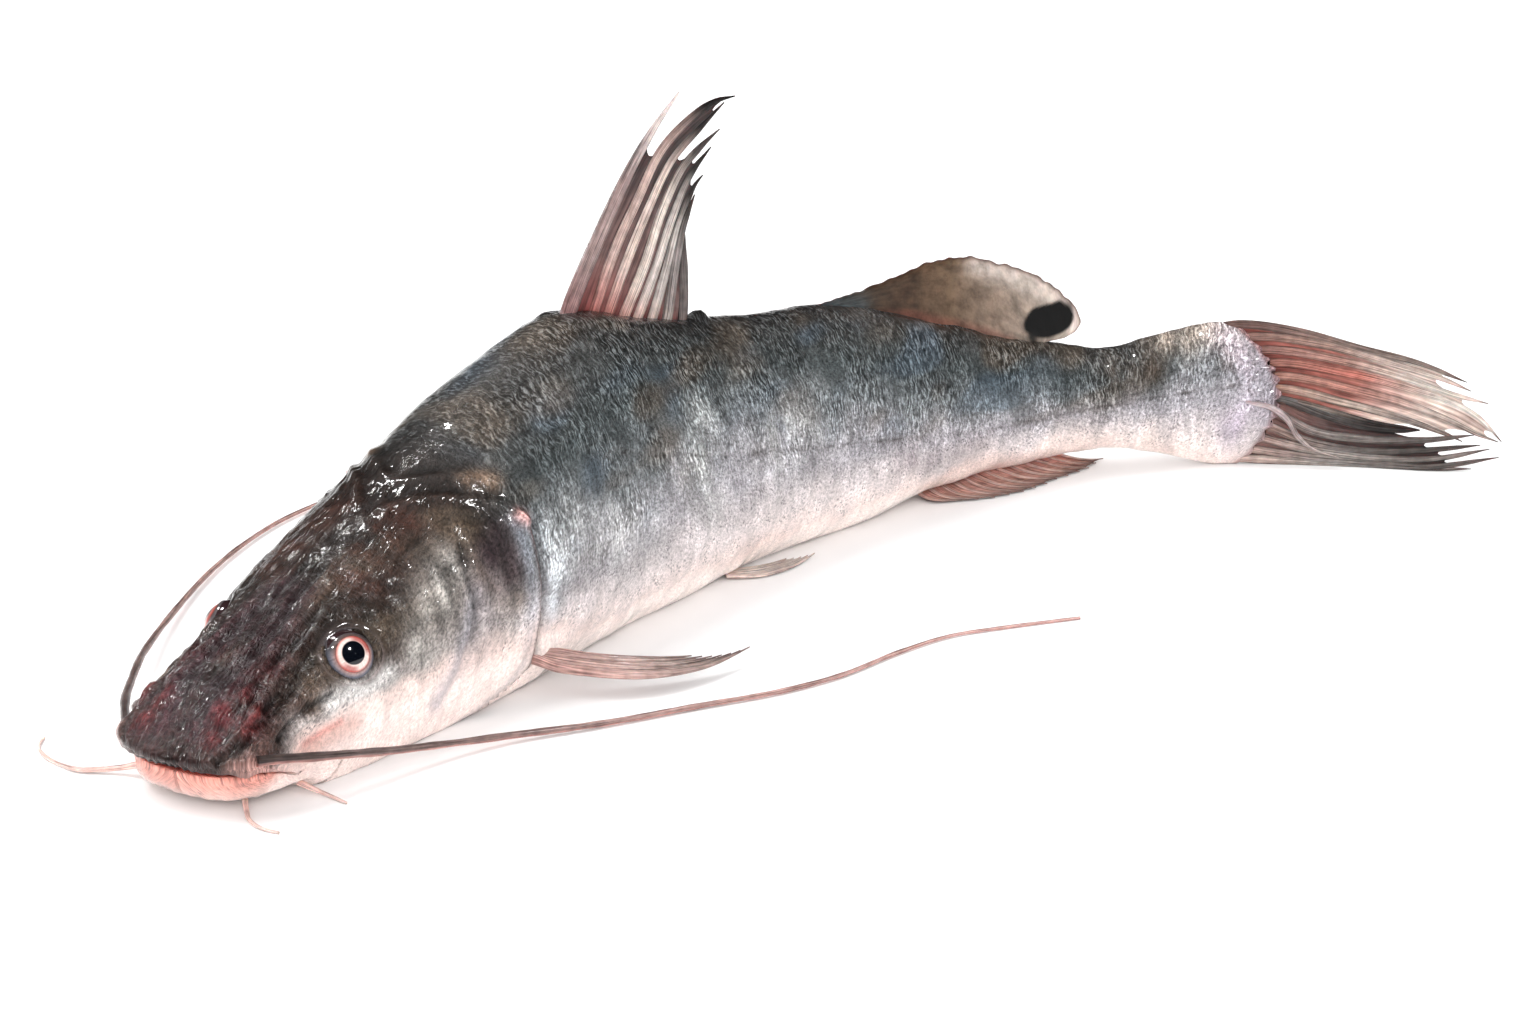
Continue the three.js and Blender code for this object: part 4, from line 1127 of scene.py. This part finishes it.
# Anal fin: folded back against the table, so that its rays overlap like a closed fan.
ANAL_RAYS = 13
ANAL_EDGE = [(381, 8), (388, 17), (402, 21), (423, 19), (440, 11), (452, 4), (464, -9)]
ANAL_BASE = [(376, 0), (400, 0), (424, 0), (439, -2), (450, -4), (460, -7)]
anal_edge, anal_base = (smooth_path([(*p, 0) for p in line], 200) for line in (ANAL_EDGE, ANAL_BASE))
anal, anal_paths = Fin(), []
for i in range(ANAL_RAYS):
    share = i / (ANAL_RAYS - 1)
    foot, tip = anal_base[int(150 * share)], anal_edge[int(25 + 174 * share)]
    bend = mix(foot, tip, 0.5) + np.array([-5, 3.5, 0]) * (1 - i / 16)
    path = smooth_path([foot, bend, tip], RAY_POINTS)
    foot_z = max(under_side(foot[0]) + 1.5, 1.4)
    rise = 0.8 + (foot_z - 0.8) * np.linspace(1, 0, RAY_POINTS) ** 2 + 0.2 * (i % 2)
    anal_paths.append(place(path[:, 0], path[:, 1], rise))
for i, path in enumerate(anal_paths):
    anal.ray(
        path, UP, [(0, 2.6), (0.6, 2), (1, 0.4)], [(0, 1.1), (1, 0.4)],
        [(0, "e3bdb4"), (0.5, "d3b4ab"), (1, "95837d")], RAY_STEP * i, rim_dark=0.3,
    )
for i in range(ANAL_RAYS - 1):
    anal.web(
        anal_paths[i], anal_paths[i + 1], UP, 0.95, 0.95, 0.04,
        [(0, "bd9087"), (0.6, "b08b81"), (1, "7b6a64")], RAY_STEP * i + WEB_SHIFT,
    )
anal.finish("anal_fin", ray_material, "rayed_fin", ["anal_fin"])

# ---------------------------------------------------------------- the fatty second back fin

ADIPOSE_EDGE = [
    (330, 83), (350, 85.2), (370, 88.3), (386, 91), (400, 91), (415, 86.5), (427, 82), (437, 76),
    (443, 71), (448, 66), (451, 59), (447, 54.5), (438, 53),
]
columns, rows = 150, 40
edge = smooth_path([(a, 0, b) for a, b in ADIPOSE_EDGE], columns)
foot_s = np.linspace(330, 429, columns)
foot = np.stack([foot_s, 0 * foot_s, back(foot_s) - 2.5], 1)
up = np.linspace(0, 1, rows)
middle = mix(foot[:, None], edge[:, None], up[:, None])
edge_step = 0.35 * swell(edge * [1, 0, 1], 5, 41)
middle[..., 2] += (up**6) * edge_step[:, None]
half_thick = mix(2.6, 0.35, up**0.7) * (1 - up**14) + 0.12
# It thickens over its first 20 columns, and its hind corner is rounded from column 128.
column = np.arange(columns)[:, None]
half_thick = half_thick * (0.4 + 0.6 * smooth(column, 0, 20))
half_thick *= np.sqrt(1 - np.clip((column - 128) / 24, 0, 0.93) ** 2)
sides = []
for sign in (1, -1):
    bow = 0.5 * swell(middle.reshape(-1, 3), 30, 42).reshape(columns, rows) * up
    sideways = sign * half_thick + bow
    sides.append(place(middle[..., 0], sideways, middle[..., 2]).reshape(-1, 3))
place_mm = np.vstack([middle.reshape(-1, 3)] * 2)
up_share = np.tile(np.tile(up, columns), 2)
fat = bands(place_mm[:, 0], [
    (330, "33312f"), (350, "463a30"), (372, "4b3a2e"), (392, "655343"), (415, "807064"), (450, "a59a90"),
])
fat = brush(fat, "c9bfb8", 0.6 * near(place_mm, [(405, 0, 88), (425, 0, 80), (440, 0, 71)], 5))
fat = brush(fat, "4c5458", 0.7 * near(place_mm, [(335, 0, 82), (350, 0, 80)], 5))
fat = brush(fat, "8a4d44", 0.35 * smooth(up_share, 0.22, 0.08) * smooth(place_mm[:, 0], 350, 380))
fat = brush(fat, "ddd0ca", 0.8 * near(place_mm, [(447, 0, 64), (448, 0, 58)], 3.5))
spot = near(place_mm + 0.5 * swell(place_mm, 7, 43)[:, None], [(432, 0, 61), (441, 0, 62)], 6.8)
fat = brush(fat, "0b0a0a", smooth(spot, 0.3, 0.5))
fat = brush(fat, "1a1817", 0.9 * near(place_mm, [(429, 0, 56), (431, 0, 52)], 2.2))
fat = brush(fat, "3b2c28", 0.8 * smooth(up_share, 0.955, 0.995))
new_piece(
    "adipose_fin", np.vstack(sides), plate_faces(columns, rows, flip=True), adipose_material,
    "fleshy_fin", ["adipose_fin"], paint=fat,
    ray_mm=np.stack([up_share * 30, place_mm[:, 0] * 0.4, 0 * up_share], 1),
)

# ---------------------------------------------------------------- whiskers

# (x, y, z) in mm on the table, from the root to the tip, with the radius at each end.
WHISKERS = {
    "maxillary_barbel_left": (1.6, 0.5, [
        (-214, -78.5, 18), (-209, -79.3, 17.4), (-197, -80, 14.8), (-184, -80.4, 12), (-170, -80.8, 9),
        (-155, -81, 6.2), (-142, -82, 4.2), (-129, -84, 2.8), (-98, -94, 1.5), (-66, -103, 1.3),
        (-39, -111, 1.2), (-15, -114, 1.1), (14, -112, 1), (37, -113, 0.9), (55, -119, 0.8),
        (82, -130, 0.6),
    ]),
    "maxillary_barbel_right": (1.6, 0.5, [
        (-229, -31, 16), (-227, -25.8, 15.6), (-215, -3, 13), (-202, 16, 10.5), (-189.5, 33, 8.5),
        (-182.5, 42, 7), (-152, 75, 3.2), (-120.5, 103, 1.9), (-94, 121, 1.6), (-70, 133, 1.4),
        (-40, 141, 1.2),
        (-5, 145, 1), (30, 142, 0.8), (58, 134, 0.6),
    ]),
    "outer_mandibular_barbel_left": (1.1, 0.4, [
        (-195.5, -70.5, 2.8), (-194.3, -73.2, 2.2), (-193, -76, 1.5), (-191.5, -80, 0.9), (-190, -88, 0.5),
    ]),
    "outer_mandibular_barbel_right": (1.1, 0.4, [
        (-225, -33, 4.6), (-226.8, -30.8, 4.2), (-230, -25.5, 2.4), (-235, -20, 1.3), (-239, -16, 1.1),
        (-241.5, -8, 1), (-242, 0, 0.9), (-240, 8, 0.7), (-235, 14, 0.5),
    ]),
    "inner_mandibular_barbel_left": (1.2, 0.4, [
        (-213, -68.5, 2.8), (-214.5, -71.3, 2.2), (-216.5, -75.2, 1.3), (-218.5, -80, 1),
        (-218.5, -86.5, 0.8), (-216, -92, 0.5),
    ]),
    "inner_mandibular_barbel_right": (1.1, 0.4, [
        (-221, -26, 2.8), (-220, -23.5, 2.4), (-215, -16.5, 1.3), (-207, -10.5, 0.9), (-197, -4.5, 0.5),
    ]),
}

for name, (root_radius, tip_radius, route) in WHISKERS.items():
    is_long = name.startswith("maxillary")
    rows, sides = (220, 12) if is_long else (48, 10)
    path = smooth_path(route, rows)
    along = unit(np.gradient(path, axis=0))
    level = unit(np.cross([0, 0, 1], along))
    upward = np.cross(along, level)
    t = np.linspace(0, 1, rows)
    taper = mix(root_radius, tip_radius, t**0.7) * round_off(1.02 - t, 0.02)
    radius = (taper * (1 + 0.07 * swell(path, 9, 51)))[:, None]
    turn = turns_round(sides)
    step = around_axis(level[:, None], upward[:, None], radius, radius, turn)
    points = np.vstack([(path[:, None] + step).reshape(-1, 3), path[0], path[-1]])
    points[:, 2] = np.maximum(points[:, 2], 0.05)
    share = np.append(np.repeat(t, sides), [0, 1])
    height = np.append(np.tile(np.sin(turn), rows), [0, 0])
    if is_long:
        colour = bands(share, [(0, "4d4240"), (0.12, "6f625f"), (0.5, "a58983"), (1, "cdaaa4")])
        colour = brush(colour, "d79f98", 0.75 * smooth(height, 0, -0.8))
    else:
        colour = bands(share, [(0, "e5c1b8"), (1, "eed4cc")])
    length = np.linalg.norm(np.diff(path, axis=0), axis=1).sum()
    ray_mm = np.stack([share * length, height * root_radius, 0 * share], 1)
    new_piece(
        name, points * MM, closed_rings(rows, sides), whisker_material, "whisker", [name],
        paint=colour, ray_mm=ray_mm,
    )

# ---------------------------------------------------------------- table, lights and camera


def table():
    """A plain white board, matt, with a very faint unevenness."""
    material, shader, add = new_material("matt_white_board", Roughness=0.75)
    tint = add("TexNoise", {"Scale": 6, "Detail": 2})
    tint = add("MapRange", {"Value": tint, "To Min": 0.88, "To Max": 0.9})
    feed(shader, Base_Color=add("CombineColor", {0: tint, 1: tint, 2: tint}))
    mesh = bpy.data.meshes.new("table")
    reach = 5
    corners = [(-reach, -reach, 0), (reach, -reach, 0), (reach, reach, 0), (-reach, reach, 0)]
    mesh.from_pydata(corners, [], [(0, 1, 2, 3)])
    mesh.materials.append(material)
    board = bpy.data.objects.new("table", mesh)
    bpy.context.scene.collection.objects.link(board)


def soft_light(name, towards, strength, spread):
    """A wide, even light from a direction, like a large panel far away."""
    light = bpy.data.lights.new(name, "SUN")
    light.energy, light.angle = strength, np.radians(spread)
    lamp = bpy.data.objects.new(name, light)
    lamp.rotation_euler = Vector(towards).to_track_quat("-Z", "Y").to_euler()
    bpy.context.scene.collection.objects.link(lamp)
    return lamp


table()
soft_light("overhead_panel", (0.3, -0.35, -1), 1.3, 30).visible_glossy = False
soft_light("front_panel", (0.6, 0.9, -0.6), 0.9, 25).visible_glossy = False
# Small lamps that only show as wet glints.
for name, towards, strength in (
    ("left_glint", (0.75, -0.35, -0.9), 2.5),
    ("right_glint", (-0.1, 0.9, -1.3), 2),
    ("back_glint", (0.1, -0.6, -0.8), 1.5),
):
    soft_light(name, towards, strength, 6).visible_diffuse = False

world = bpy.data.worlds.new("white_studio")
world.use_nodes = True
world.node_tree.nodes["Background"].inputs["Color"].default_value = rgba("ffffff")
world.node_tree.nodes["Background"].inputs["Strength"].default_value = 0.85
world.cycles_visibility.glossy = False
bpy.context.scene.world = world
bpy.context.scene.view_settings.view_transform = "Standard"
bpy.context.scene.view_settings.look = "Medium High Contrast"

camera_data = bpy.data.cameras.new("camera")
camera_data.lens, camera_data.sensor_width = 70, 36
camera = bpy.data.objects.new("camera", camera_data)
camera.location = (-0.62415, -0.77877, 0.38614)
aim = Vector((0.07187, 0.02191, 0)) - camera.location
camera.rotation_euler = aim.to_track_quat("-Z", "Y").to_euler()
bpy.context.scene.collection.objects.link(camera)
bpy.context.scene.camera = camera

bpy.context.view_layer.update()
